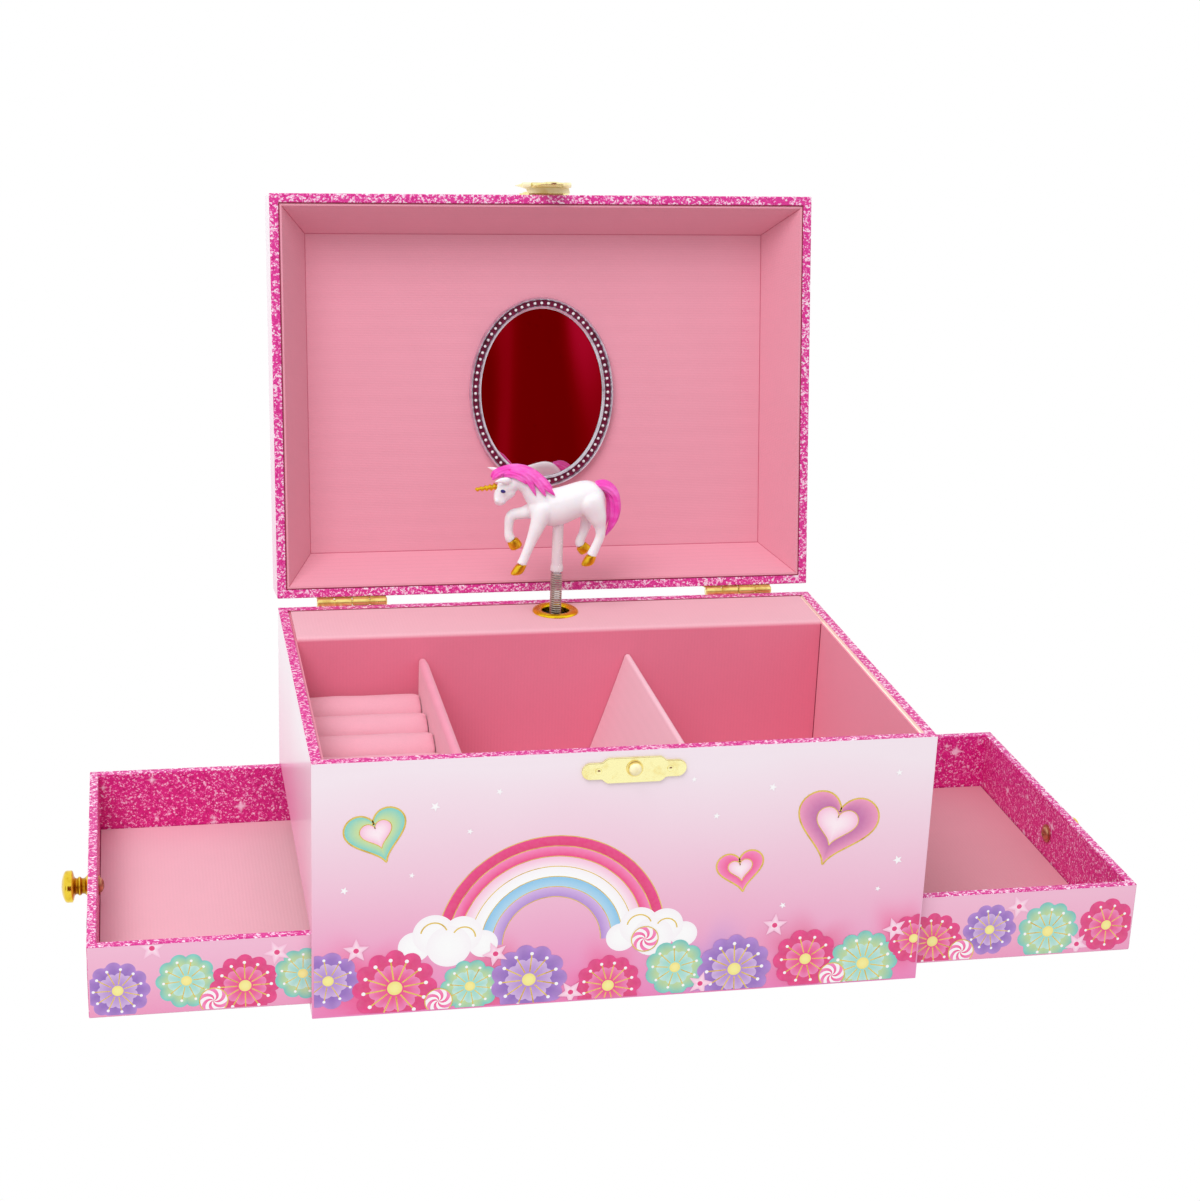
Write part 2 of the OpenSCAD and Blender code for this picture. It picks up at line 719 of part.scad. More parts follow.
// Spur gear outline: n teeth of module m, tip addendum and root dedendum in modules
module spur(n, m, add, ded, phase) {
    rp = m * n / 2;
    slack = 0.05;
    radii = [rp - ded * m, max(rp * cos(20), rp - ded * m + 0.05), rp, rp + add * m];
    polygon([for (k = [0:n - 1]) let (c = phase + k * 360 / n)
        each concat(
            [for (r = radii) let (a = c - tooth_half(r, n, m, slack)) [r * cos(a), r * sin(a)]],
            [for (i = [3:-1:0]) let (a = c + tooth_half(radii[i], n, m, slack))
                [radii[i] * cos(a), radii[i] * sin(a)]])]);
}

module bedplate() {
    corner = 3;
    color("silver") difference() {
        along_y(bed_y, in_d) difference() {
            union() {
                translate([-bedplate_half + corner, bed_bottom])
                    square([2 * (bedplate_half - corner), bed_top - bed_bottom]);
                translate([-bedplate_half, bed_bottom + corner])
                    square([2 * bedplate_half, bed_top - bed_bottom - 2 * corner]);
                for (s = [-1, 1]) for (z = [bed_bottom + corner, bed_top - corner])
                    translate([s * (bedplate_half - corner), z]) circle(corner, $fn = 24);
            }
            translate([-window_half, end_gear_z - 0.5]) square([2 * window_half, bearing_z - end_gear_z]);
        }
        rod_y(0, key_z, arbor_r + run_fit, bed_y - 1, in_d + 1);
        for (s = screw_sites) rod_y(s[0], s[1], bed_screw_r + run_fit, bed_y - 1, in_d + 1);
    }
}

module bedplate_screws() {
    color("silver") for (s = screw_sites) {
        rod_y(s[0], s[1], bed_screw_r, bed_y, half_d);
        difference() {
            translate([s[0], half_d, s[1]]) rotate([-90, 0, 0]) rotate_extrude()
                polygon([[0, 0], [2.4, 0], [2.4, 0.5], [1.7, 1.2], [0, 1.2]]);
            block([s[0] - 0.3, s[0] + 0.3], [half_d + 0.7, half_d + 2], [s[1] - 3, s[1] + 3]);
        }
    }
}

// Cup round the mainspring, with a front bridge on two posts and the spindle's foot bearing
module spring_housing() {
    color("silver") difference() {
        union() {
            rod_y(0, key_z, housing_r, housing_front, housing_back);
            block([-bridge_post_x, bridge_post_x], [housing_front, housing_front + 1], [key_z - 2.4, key_z + 2.4]);
            for (s = [-1, 1]) rod_y(s * bridge_post_x, key_z, 1.6, housing_front, bed_y);
            rod_z(0, post_y, boss_r, key_z + housing_r - 0.6, boss_top);
        }
        rod_y(0, key_z, housing_r - housing_wall, housing_front + 1, housing_back + 1);
        rod_y(0, key_z, arbor_r + run_fit, housing_front - 1, housing_front + 2);
        rod_z(0, post_y, pivot_r + run_fit, key_z + housing_r - 0.1, boss_top + 1);
    }
}

// Wound strip between the arbor and the wall of the cup
module mainspring() {
    turns = 5;
    steps = 16 * turns;
    strip = 0.35;
    r0 = arbor_r + 0.35;
    r1 = housing_r - housing_wall - strip - 0.05;
    function spiral(off) = [for (i = [0:steps]) let (a = i * 360 / 16, r = r0 + off + (r1 - r0) * i / steps)
        [r * cos(a), r * sin(a)]];
    inner = spiral(0);
    outer = spiral(strip);
    color("steelblue") translate([0, 0, key_z]) along_y(housing_front + 1.4, housing_back - 0.6)
        polygon(concat(inner, [for (i = [steps:-1:0]) outer[i]]));
}

module comb() {
    z0 = cylinder_z + 0.4;
    root = comb_root_x;
    color("lightgray") difference() {
        block([comb_tip_x, root + comb_base_w], [post_y - comb_t / 2, post_y + comb_t / 2],
            [z0, z0 + comb_teeth * comb_pitch]);
        for (k = [1:comb_teeth - 1])
            block([comb_tip_x - 1, root - 3 * k / comb_teeth], [post_y - 1, post_y + 1],
                [z0 + k * comb_pitch - 0.12, z0 + k * comb_pitch + 0.12]);
        for (z = comb_screw_sites) rod_y(root + comb_base_w / 2, z, comb_screw_r + run_fit, post_y - 2, post_y + 2);
    }
}

// Comb base block and the two screws that clamp the comb to it
module comb_screws() {
    x = comb_root_x + comb_base_w / 2;
    y0 = post_y - comb_t / 2;
    color("silver") union() {
        block([comb_root_x, comb_root_x + comb_base_w], [post_y + comb_t / 2, bed_y],
            [cylinder_z + 0.4, cylinder_z + 0.4 + comb_teeth * comb_pitch]);
        for (z = comb_screw_sites) {
            rod_y(x, z, comb_screw_r, y0, post_y + comb_t);
            rod_y(x, z, 1.8, y0 - 1, y0);
        }
    }
}

// Upper bearing of the spindle: a flange on the bedplate and one arm
module spindle_bracket() {
    color("silver") difference() {
        union() {
            block([-2.8, 2.8], [post_y, bed_y], [bearing_z, bearing_z + bearing_t]);
            rod_z(0, post_y, 2.8, bearing_z, bearing_z + bearing_t);
            block([-5, 5], [bed_y - 1, bed_y], [bearing_z, bed_top]);
        }
        rod_z(0, post_y, spindle_r + run_fit, bearing_z - 1, bearing_z + 2);
    }
}

// Folded bracket with an arm above and below the governor's arbors
module governor_bracket() {
    x0 = fly_x - gov_end;
    x1 = gov_x + 2;
    low_z = end_gear_z - 1.6;
    color("silver") difference() {
        union() {
            block([x0, -window_half - 1], [bed_y - 1, bed_y], [low_z, bed_top]);
            for (z = [low_z, arm_top_z]) {
                block([x0, x1], [post_y - 2.2, bed_y - 2], [z, z + arm_t]);
                block([x0, -window_half - 1], [bed_y - 2, bed_y - 1], [z, z + arm_t]);
            }
        }
        for (x = [gov_x, fly_x]) rod_z(x, post_y, gov_arbor_r + run_fit, low_z - 1, bed_top + 1);
    }
}

module winding_arbor() {
    color("silver") rod_y(0, key_z, arbor_r, housing_front - 0.6, half_d + 6);
}

// Contrate wheel: spoked disc with a ring of pins that point to the front
module great_wheel() {
    hub_r = 3.4;
    rim_w = 2.6;
    color("gold") difference() {
        union() {
            rod_y(0, key_z, wheel_rim, disc_y, disc_y + disc_t);
            for (k = [0:wheel_pins - 1]) {
                a = k * 360 / wheel_pins;
                rod_y(wheel_r * sin(a), key_z + wheel_r * cos(a), contrate_pin_r, pin_tip_y, disc_y + 0.4, $fn = 14);
            }
        }
        rod_y(0, key_z, arbor_r + 0.02, disc_y - 1, disc_y + disc_t + 1);
        for (q = [0:3]) translate([0, 0, key_z]) rotate([0, q * 90 + 45, 0])
            along_y(disc_y - 1, disc_y + disc_t + 1) intersection() {
                difference() {
                    circle(wheel_rim - rim_w);
                    circle(hub_r);
                }
                translate([1.2, 1.2]) square(wheel_rim);
            }
    }
}

// Butterfly key on the free end of the arbor
module winding_key() {
    y0 = half_d + 1.5;
    wing_r = 5;
    reach = key_span / 2 - wing_r;
    color("gold") difference() {
        union() {
            rod_y(0, key_z, 2.8, y0, y0 + 6);
            translate([0, y0 + 5.1, key_z - 0.8]) linear_extrude(1.6) {
                for (s = [-1, 1]) translate([s * reach, wing_r + 0.6]) circle(wing_r);
                translate([-reach, 0]) square([2 * reach, 4.4]);
            }
        }
        rod_y(0, key_z, arbor_r + 0.02, y0 - 1, half_d + 6);
        for (s = [-1, 1]) translate([s * reach, y0 + 5.1 + wing_r + 0.6, key_z - 2]) cylinder(r = 1.8, h = 4);
    }
}

// Steel arbor with the leaf pinion, a collar under the coil spring and the spring's spigot
module spindle() {
    color("silver") union() {
        rod_z(0, post_y, pivot_r, key_z + housing_r + 0.1, pinion_z);
        rod_z(0, post_y, spindle_r, pinion_z, collar_top);
        rod_z(0, post_y, spring_r - 0.1, collar_top - 1, collar_top);
        rod_z(0, post_y, spring_r - 2 * wire_r - 0.15, collar_top, deck_z + 1.2);
        translate([0, post_y, pinion_z]) linear_extrude(pinion_h) union() {
            circle(pinion_root_r);
            for (k = [0:leaf_count - 1]) rotate(k * 360 / leaf_count)
                translate([0, -leaf_w / 2]) square([pinion_tip_r, leaf_w]);
        }
    }
}

// Brass cylinder with its melody pins and the end gear that drives the governor
module pinned_cylinder() {
    color("gold") difference() {
        union() {
            rod_z(0, post_y, cylinder_r, cylinder_z, cylinder_z + cylinder_len);
            translate([0, post_y, end_gear_z]) linear_extrude(gear_t)
                spur(end_gear_teeth, gov_module, 0.5, 1.0, 0);
            for (k = [0:comb_teeth - 1]) for (j = [0:2]) {
                a = (k * 137 + j * 112 + (k * j % 5) * 9) % 360;
                translate([0, post_y, cylinder_z + 0.4 + (k + 0.5) * comb_pitch]) rotate([0, 90, a])
                    cylinder(r = 0.2, h = cylinder_r + pin_h, $fn = 13);
            }
        }
        rod_z(0, post_y, spindle_r + 0.01, end_gear_z - 1, cylinder_z + cylinder_len + 1);
    }
}

// Compound wheel of the governor: pinion on the end gear, wheel on the fly's pinion
module governor_wheel() {
    color("gold") union() {
        rod_z(gov_x, post_y, gov_arbor_r, end_gear_z - 1.5, bed_top - 0.1);
        translate([gov_x, post_y, end_gear_z - 0.3]) linear_extrude(gear_t + 0.6)
            spur(gov_pinion_teeth, gov_module, 0.8, 1.0, 180 / gov_pinion_teeth);
        translate([gov_x, post_y, wheel_z]) linear_extrude(gear_t)
            spur(gov_wheel_teeth, gov_wheel_module, 0.5, 1.0, 0);
    }
}

// Air brake: two-bladed fly on a fast arbor
module fly() {
    blade_z = end_gear_z + 3;
    color("dimgray") union() {
        rod_z(fly_x, post_y, gov_arbor_r, end_gear_z - 1.5, bed_top - 0.1);
        translate([fly_x, post_y, wheel_z - 0.2]) linear_extrude(gear_t + 0.4)
            spur(fly_pinion_teeth, gov_wheel_module, 0.8, 1.0, 180 / fly_pinion_teeth);
        rod_z(fly_x, post_y, 1.2, blade_z, blade_z + 14);
        block([fly_x - 4.6, fly_x + 4.6], [post_y - 0.25, post_y + 0.25], [blade_z + 1, blade_z + 13]);
    }
}

// ---------- spring post ----------
// Closed-wound coil as one swept tube
module coil_spring() {
    ring_steps = 12;
    sides = 6;
    rings = spring_turns * ring_steps;
    mean_r = spring_r - wire_r;
    rise = (spring_top - spring_low - 2 * wire_r) / rings;
    points = [for (i = [0:rings]) let (a = i * 360 / ring_steps, z = spring_low + wire_r + rise * i)
        for (k = [0:sides - 1]) let (b = k * 360 / sides, r = mean_r + wire_r * cos(b))
            [r * cos(a), r * sin(a), z + wire_r * sin(b)]];
    faces = concat([[for (k = [0:sides - 1]) k]],
        [for (i = [0:rings - 1]) for (k = [0:sides - 1])
            let (n = (k + 1) % sides) [i * sides + k, (i + 1) * sides + k, (i + 1) * sides + n, i * sides + n]],
        [[for (k = [sides - 1:-1:0]) rings * sides + k]]);
    color("gray") translate([0, post_y, 0]) polyhedron(points, faces);
}

// ---------- figure (drawn about the post's axis, z from the deck) ----------
tube_low = spring_up + 0.2;
belly_z = tube_low + tube_len;
socket = 2.6;
drawn_len = 46;                     // the body's length as drawn below, from the muzzle to the tail
drawn_belly = 33.4;
figure_k = figure_len / drawn_len;

module figure_place() {
    translate([0, post_y, deck_z]) children();
}

// Brings what is drawn below to the figure's size, with its belly on the tube
module figure_size() {
    translate([0, 0, belly_z]) scale(figure_k) translate([0, 0, -drawn_belly]) children();
}

// Clear tube with a collar and a peg down inside the coil
module figure_tube() {
    peg_r = spring_r - 2 * wire_r - 0.15;
    color("white") figure_place() rotate_extrude() polygon([
        [0, tube_low - 3], [peg_r, tube_low - 3], [peg_r, tube_low], [spring_r + 0.35, tube_low],
        [spring_r + 0.35, tube_low + 1.4], [spring_r, tube_low + 1.8], [spring_r - 0.05, belly_z + socket],
        [0, belly_z + socket]]);
}

// Ellipsoid of half-sizes s at p
module blob(p, s, n = 20) {
    translate(p) scale(s) sphere(1, $fn = n);
}

// Smooth trunk on the middle plane through ellipsoids [x, z, half-sizes]
module trunk(rows, n = 20) {
    for (i = [0:len(rows) - 2]) hull() {
        for (p = [rows[i], rows[i + 1]]) blob([p[0], 0, p[1]], [p[2], p[3], p[4]], n);
    }
}

// Smooth limb through the points [x, y, z, r]
module limb(pts, n = 12) {
    for (i = [0:len(pts) - 2]) hull() {
        for (p = [pts[i], pts[i + 1]]) translate([p[0], p[1], p[2]]) sphere(p[3], $fn = n);
    }
}

near_y = -3.1;
far_y = 3.1;
barrel = [[-7.4, 40.0, 4.2, 4.3, 5.9], [-2.6, 40.0, 4, 5.2, 7.2], [2.4, 41.0, 4, 5.4, 7.5], [7.4, 42.8, 4, 5.2, 7.2],
    [12.4, 43.7, 5.8, 5.0, 6.4]];
neck = [[-5.2, 41.2, 5.6, 4.6, 6.2], [-8.6, 45.4, 4.4, 3.9, 5.0], [-11.6, 48.6, 4.0, 3.3, 4.2],
    [-14.8, 50.2, 3.6, 2.9, 3.7], [-17.6, 49.4, 3.3, 2.8, 3.4]];
head = [[-17.6, 49.4, 3.3, 2.8, 3.4], [-19.6, 47.6, 3.0, 2.7, 3.0], [-21.2, 45.2, 2.2, 2.1, 2.3],
    [-21.7, 43.4, 1.9, 1.7, 1.9]];
cheek = [[-18.0, 47.6, 2.2, 2.3, 2.2], [-19.2, 45.4, 2.1, 2.1, 2.1]];
fore_planted = [[-6.8, near_y + 0.7, 38.8, 4.2], [-8.9, near_y, 33.4, 3.0], [-10.8, near_y, 28.2, 2.3],
    [-13.0, near_y, 22.4, 1.95], [-14.3, near_y, 18.8, 2.05]];
fore_raised = [[-7.4, far_y - 0.7, 38.4, 4.1], [-12.5, far_y, 36.9, 2.6], [-17.0, far_y, 35.6, 2.2],
    [-17.5, far_y, 30.4, 1.85], [-17.1, far_y, 27.6, 1.95], [-16.1, far_y, 26.4, 1.9]];
hind_near = [[12.7, near_y + 0.8, 41.8, 5.4], [15.2, near_y + 0.2, 37.0, 3.6], [16.2, near_y, 33.0, 2.35],
    [16.2, near_y, 29.4, 2.0], [14.3, near_y, 25.0, 1.9], [12.4, near_y, 21.6, 2.05]];
hind_far = [[11.6, far_y - 0.8, 41.0, 5.1], [12.2, far_y, 35.2, 2.9], [10.8, far_y, 29.0, 1.95],
    [9.2, far_y, 25.2, 1.9], [9.7, far_y, 23.5, 1.9]];
// Each hoof: the middle of its top and of its sole
hoof_list = [[[-14.2, near_y, 18.8], [-16.1, near_y, 14.9]], [[-16.2, far_y, 26.5], [-13.7, far_y, 23.7]],
    [[12.5, near_y, 21.6], [10.6, near_y, 17.4]], [[9.5, far_y, 23.6], [12.1, far_y, 21.0]]];

module unicorn_shape() {
    trunk(barrel, 24);
    trunk(neck);
    trunk(head);
    trunk(cheek, 16);
    // ears, laid back to the left
    limb([[-18.4, -1.9, 51.0, 1.2], [-21.2, -2.4, 51.5, 1.1], [-23.8, -2.6, 51.1, 0.4]], 10);
    limb([[-18.4, 1.9, 51.2, 1.2], [-21.4, 2.4, 52.6, 1.1], [-24.4, 2.6, 53.4, 0.4]], 10);
    limb(fore_planted);
    limb(fore_raised);
    limb(hind_near);
    limb(hind_far);
}

module unicorn_body() {
    color("white") figure_place() difference() {
        figure_size() unicorn_shape();
        cylinder(r = spring_r, h = belly_z + socket);
    }
}

// Locks of the mane and tail as tapering limbs; the side locks hang on both sides
crest = [[-23.2, 0, 50.4, 1.1], [-22.0, 0, 52.5, 2.1], [-18.8, 0, 53.7, 2.6], [-14.6, 0, 54.1, 3.0],
    [-10.6, 0, 52.9, 3.1], [-7.2, 0, 50.2, 2.9], [-3.4, 0, 47.0, 1.3]];
side_locks = [
    [[-16.6, -1.5, 54.4, 1.9], [-12.4, -3.4, 51.6, 1.9], [-10.3, -3.8, 47.8, 1.4], [-9.2, -4.0, 45.2, 0.6]],
    [[-13.4, -1.4, 55.0, 1.9], [-9.4, -3.7, 51.6, 1.9], [-7.5, -4.3, 47.6, 1.3], [-6.7, -4.7, 45.0, 0.6]],
    [[-10.4, -1.2, 54.0, 1.8], [-6.4, -3.6, 50.0, 1.8], [-4.8, -4.3, 47.2, 1.2], [-3.8, -4.6, 45.2, 0.6]]];
forelock = [[-18.8, -0.6, 54.3, 1.6], [-22.4, -1.2, 53.2, 1.5], [-24.1, -1.5, 50.0, 0.6]];
tail_path = [[14.8, 0, 48.4, 1.9], [18.2, 0, 48.0, 2.5], [20.6, 0, 45.0, 2.6], [21.4, 0, 40.6, 2.4],
    [21.2, 0, 36.0, 2.1], [20.4, 0, 32.0, 1.4], [18.8, 0, 28.9, 0.6]];

module mane_and_tail() {
    color("deeppink") figure_place() figure_size() difference() {
        union() {
            limb(crest, 12);
            limb(forelock, 10);
            for (s = [-1, 1]) scale([1, s, 1]) for (lock = side_locks) limb(lock, 10);
            limb(tail_path, 12);
        }
        unicorn_shape();
    }
}

// Spiral horn on the forehead
module horn() {
    len = 8.8;
    color("gold") figure_place() figure_size() difference() {
        translate([-22.0, 0, 48.3]) rotate([0, -98.5, 0]) linear_extrude(height = len, twist = -720, scale = 0.14,
            slices = 18, segments = 14) union() {
                circle(0.95, $fn = 10);
                translate([0.35, 0]) circle(0.8, $fn = 10);
            }
        unicorn_shape();
    }
}

module hooves() {
    color("goldenrod") figure_place() figure_size() difference() {
        for (h = hoof_list) let (along = h[1] - h[0])
            translate(h[0]) rotate([0, atan2(along[0], along[2]), 0]) scale([1.05, 0.86, 1])
                cylinder(h = norm(along), r1 = 2.2, r2 = 2.85, $fn = 24);
        unicorn_shape();
    }
}

module eyes() {
    color("navy") figure_place() figure_size() difference() {
        for (s = [-1, 1]) blob([-20.3, s * 2.3, 46.9], [0.95, 0.62, 0.7], 14);
        unicorn_shape();
    }
}

front_board();
back_board();
left_board();
right_board();
base_board();
floor_board();
drawer_partition();
compartment_lining();
floor_card();
music_deck();
padded_divider();
tent_divider();
ring_platform();
ring_rolls();
deck_ring();
clasp_plate();
clasp_stud();
case_nails();
hinge_case_leaves();
hinge_pins();
bedplate();
bedplate_screws();
spring_housing();
mainspring();
comb();
comb_screws();
spindle_bracket();
governor_bracket();
lid_shell();
lid_lining();
lid_panel();
mirror_frame();
mirror_glass();
hinge_lid_leaves();
lid_nails();
hasp_base();
hasp_pin();
hasp_flap();
left_drawer_tray();
left_drawer_card();
left_knob();
left_knob_screw();
right_drawer_tray();
right_drawer_card();
right_knob();
right_knob_screw();
winding_key();
winding_arbor();
great_wheel();
spindle();
pinned_cylinder();
governor_wheel();
fly();
coil_spring();
figure_tube();
unicorn_body();
mane_and_tail();
horn();
hooves();
eyes();
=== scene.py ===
"""Looks of the musical jewellery box: papers, brass, mirror, padded rolls and the figure on its spring."""

from __future__ import annotations

import json
import logging
import math
from dataclasses import dataclass, field
from enum import Enum
from functools import partialmethod
from typing import Any, Callable, Iterable, Mapping, Sequence, Union

import bmesh
import bpy
from mathutils import Matrix, Vector, noise


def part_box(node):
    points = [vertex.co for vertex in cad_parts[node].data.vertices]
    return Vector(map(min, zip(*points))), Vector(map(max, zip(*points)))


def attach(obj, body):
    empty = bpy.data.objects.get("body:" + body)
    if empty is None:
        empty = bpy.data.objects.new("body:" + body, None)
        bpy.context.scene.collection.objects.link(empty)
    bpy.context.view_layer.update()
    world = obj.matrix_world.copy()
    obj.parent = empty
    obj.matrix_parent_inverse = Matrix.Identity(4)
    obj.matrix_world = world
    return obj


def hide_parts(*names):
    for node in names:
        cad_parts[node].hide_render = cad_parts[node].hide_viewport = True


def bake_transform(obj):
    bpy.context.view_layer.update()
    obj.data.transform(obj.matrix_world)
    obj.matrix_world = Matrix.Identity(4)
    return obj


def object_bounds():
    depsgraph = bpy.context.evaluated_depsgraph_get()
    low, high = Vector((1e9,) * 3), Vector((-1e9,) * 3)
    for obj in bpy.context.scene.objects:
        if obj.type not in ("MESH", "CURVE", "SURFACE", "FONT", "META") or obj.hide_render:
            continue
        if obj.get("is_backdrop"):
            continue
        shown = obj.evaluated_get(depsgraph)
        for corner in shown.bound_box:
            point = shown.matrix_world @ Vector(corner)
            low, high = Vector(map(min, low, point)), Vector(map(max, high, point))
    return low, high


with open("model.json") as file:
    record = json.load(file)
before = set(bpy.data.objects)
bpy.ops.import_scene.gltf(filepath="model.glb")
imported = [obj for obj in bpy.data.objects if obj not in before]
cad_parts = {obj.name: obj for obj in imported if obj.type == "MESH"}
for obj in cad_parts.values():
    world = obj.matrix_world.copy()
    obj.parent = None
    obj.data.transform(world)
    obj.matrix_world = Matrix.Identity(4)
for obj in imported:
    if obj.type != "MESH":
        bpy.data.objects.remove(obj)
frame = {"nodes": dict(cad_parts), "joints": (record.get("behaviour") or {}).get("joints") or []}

LOG = logging.getLogger("jewellery_box")
MM = 0.001
NEAR = 1e-5
WELD = 1e-7
SOLID_WELD = 2e-6
FLAT_WITHIN = math.radians(1.0)
SHARP_FROM = math.radians(38)
ALONG_X = Matrix(((0, 0, 1, 0), (1, 0, 0, 0), (0, 1, 0, 0), (0, 0, 0, 1)))
ALONG_Y = Matrix(((1, 0, 0, 0), (0, 0, 1, 0), (0, 1, 0, 0), (0, 0, 0, 1)))
Colour = tuple[float, float, float]
Point = tuple[float, float, float]
Spot = tuple[float, float, float, float]
Outline = list[tuple[float, float]]
Number = Union[int, float]


def srgb(red: int, green: int, blue: int) -> Colour:
    """Turns a display colour into the linear colour that shaders use.

    Args:
        red: Red from 0 to 255.
        green: Green from 0 to 255.
        blue: Blue from 0 to 255.

    Returns:
        The linear colour.
    """
    shares = (value / 255 for value in (red, green, blue))
    return tuple(c / 12.92 if c <= 0.04045 else ((c + 0.055) / 1.055) ** 2.4 for c in shares)


def polar(radius: float, angle: float) -> tuple[float, float]:
    """A point at an angle in radians."""
    return radius * math.cos(angle), radius * math.sin(angle)


def circle(steps: int, turn: float = 0.0) -> list[float]:
    """Even angles round a circle, in radians."""
    return [2 * math.pi * i / steps + turn for i in range(steps)]


def arc(cx: float, cy: float, r: float, start: float, end: float, steps: int) -> Outline:
    """Points of an arc, in degrees."""
    points = (polar(r, math.radians(start + (end - start) * i / steps)) for i in range(steps + 1))
    return [(cx + x, cy + y) for x, y in points]


def axle(point: Sequence[float], axis: str, sign: int = 1) -> Matrix:
    """A place whose own Z is turned square round an axis."""
    return Matrix.Translation(point) @ Matrix.Rotation(sign * math.pi / 2, 4, axis)


def lid_pivot() -> Sequence[float]:
    """A point on the axis of the lid's hinge."""
    return next(j for j in frame["joints"] if j["name"] == "lid_hinge")["pos_m"]


# ---------------------------------------------------------------- shader graphs
class Signal:
    """A shader socket that takes part in Python sums, products and comparisons."""

    def __init__(self, graph: Graph, socket: bpy.types.NodeSocket) -> None:
        """Keeps the graph and the output socket."""
        self.graph = graph
        self.socket = socket

    def _math(self, operation: str, *values: Signal | Number, clamp: bool = False) -> Signal:
        """Adds one Math node.

        Args:
            operation: Name of the Math operation.
            values: Its values in order, signals or numbers.
            clamp: Whether the result is kept from 0 to 1.

        Returns:
            The result.
        """
        return self.graph.signal("ShaderNodeMath", {"operation": operation, "use_clamp": clamp},
                                 dict(enumerate(values)))

    def _before(self, operation: str, other: Signal | Number) -> Signal:
        """The operation with this value first."""
        return self._math(operation, self, other)

    def _after(self, operation: str, other: Number) -> Signal:
        """The operation with a number first."""
        return self._math(operation, other, self)

    __add__ = partialmethod(_before, "ADD")
    __radd__ = partialmethod(_after, "ADD")
    __sub__ = partialmethod(_before, "SUBTRACT")
    __rsub__ = partialmethod(_after, "SUBTRACT")
    __mul__ = partialmethod(_before, "MULTIPLY")
    __truediv__ = partialmethod(_before, "DIVIDE")
    __gt__ = partialmethod(_before, "GREATER_THAN")

    def sine(self) -> Signal:
        """Sine of this value in radians."""
        return self._math("SINE", self)

    def size(self) -> Signal:
        """Absolute value."""
        return self._math("ABSOLUTE", self)

    def held(self) -> Signal:
        """This value kept from 0 to 1."""
        return self._math("ADD", self, 0.0, clamp=True)

    def spread(self, low: float, high: float) -> Signal:
        """Maps low..high smoothly to 0..1.

        Args:
            low: Value that gives 0.
            high: Value that gives 1.

        Returns:
            The mapped value.
        """
        return self.graph.signal("ShaderNodeMapRange", {"interpolation_type": "SMOOTHSTEP"},
                                 {"Value": self, "From Min": low, "From Max": high})


Value = Union[Signal, Number, Sequence[float]]


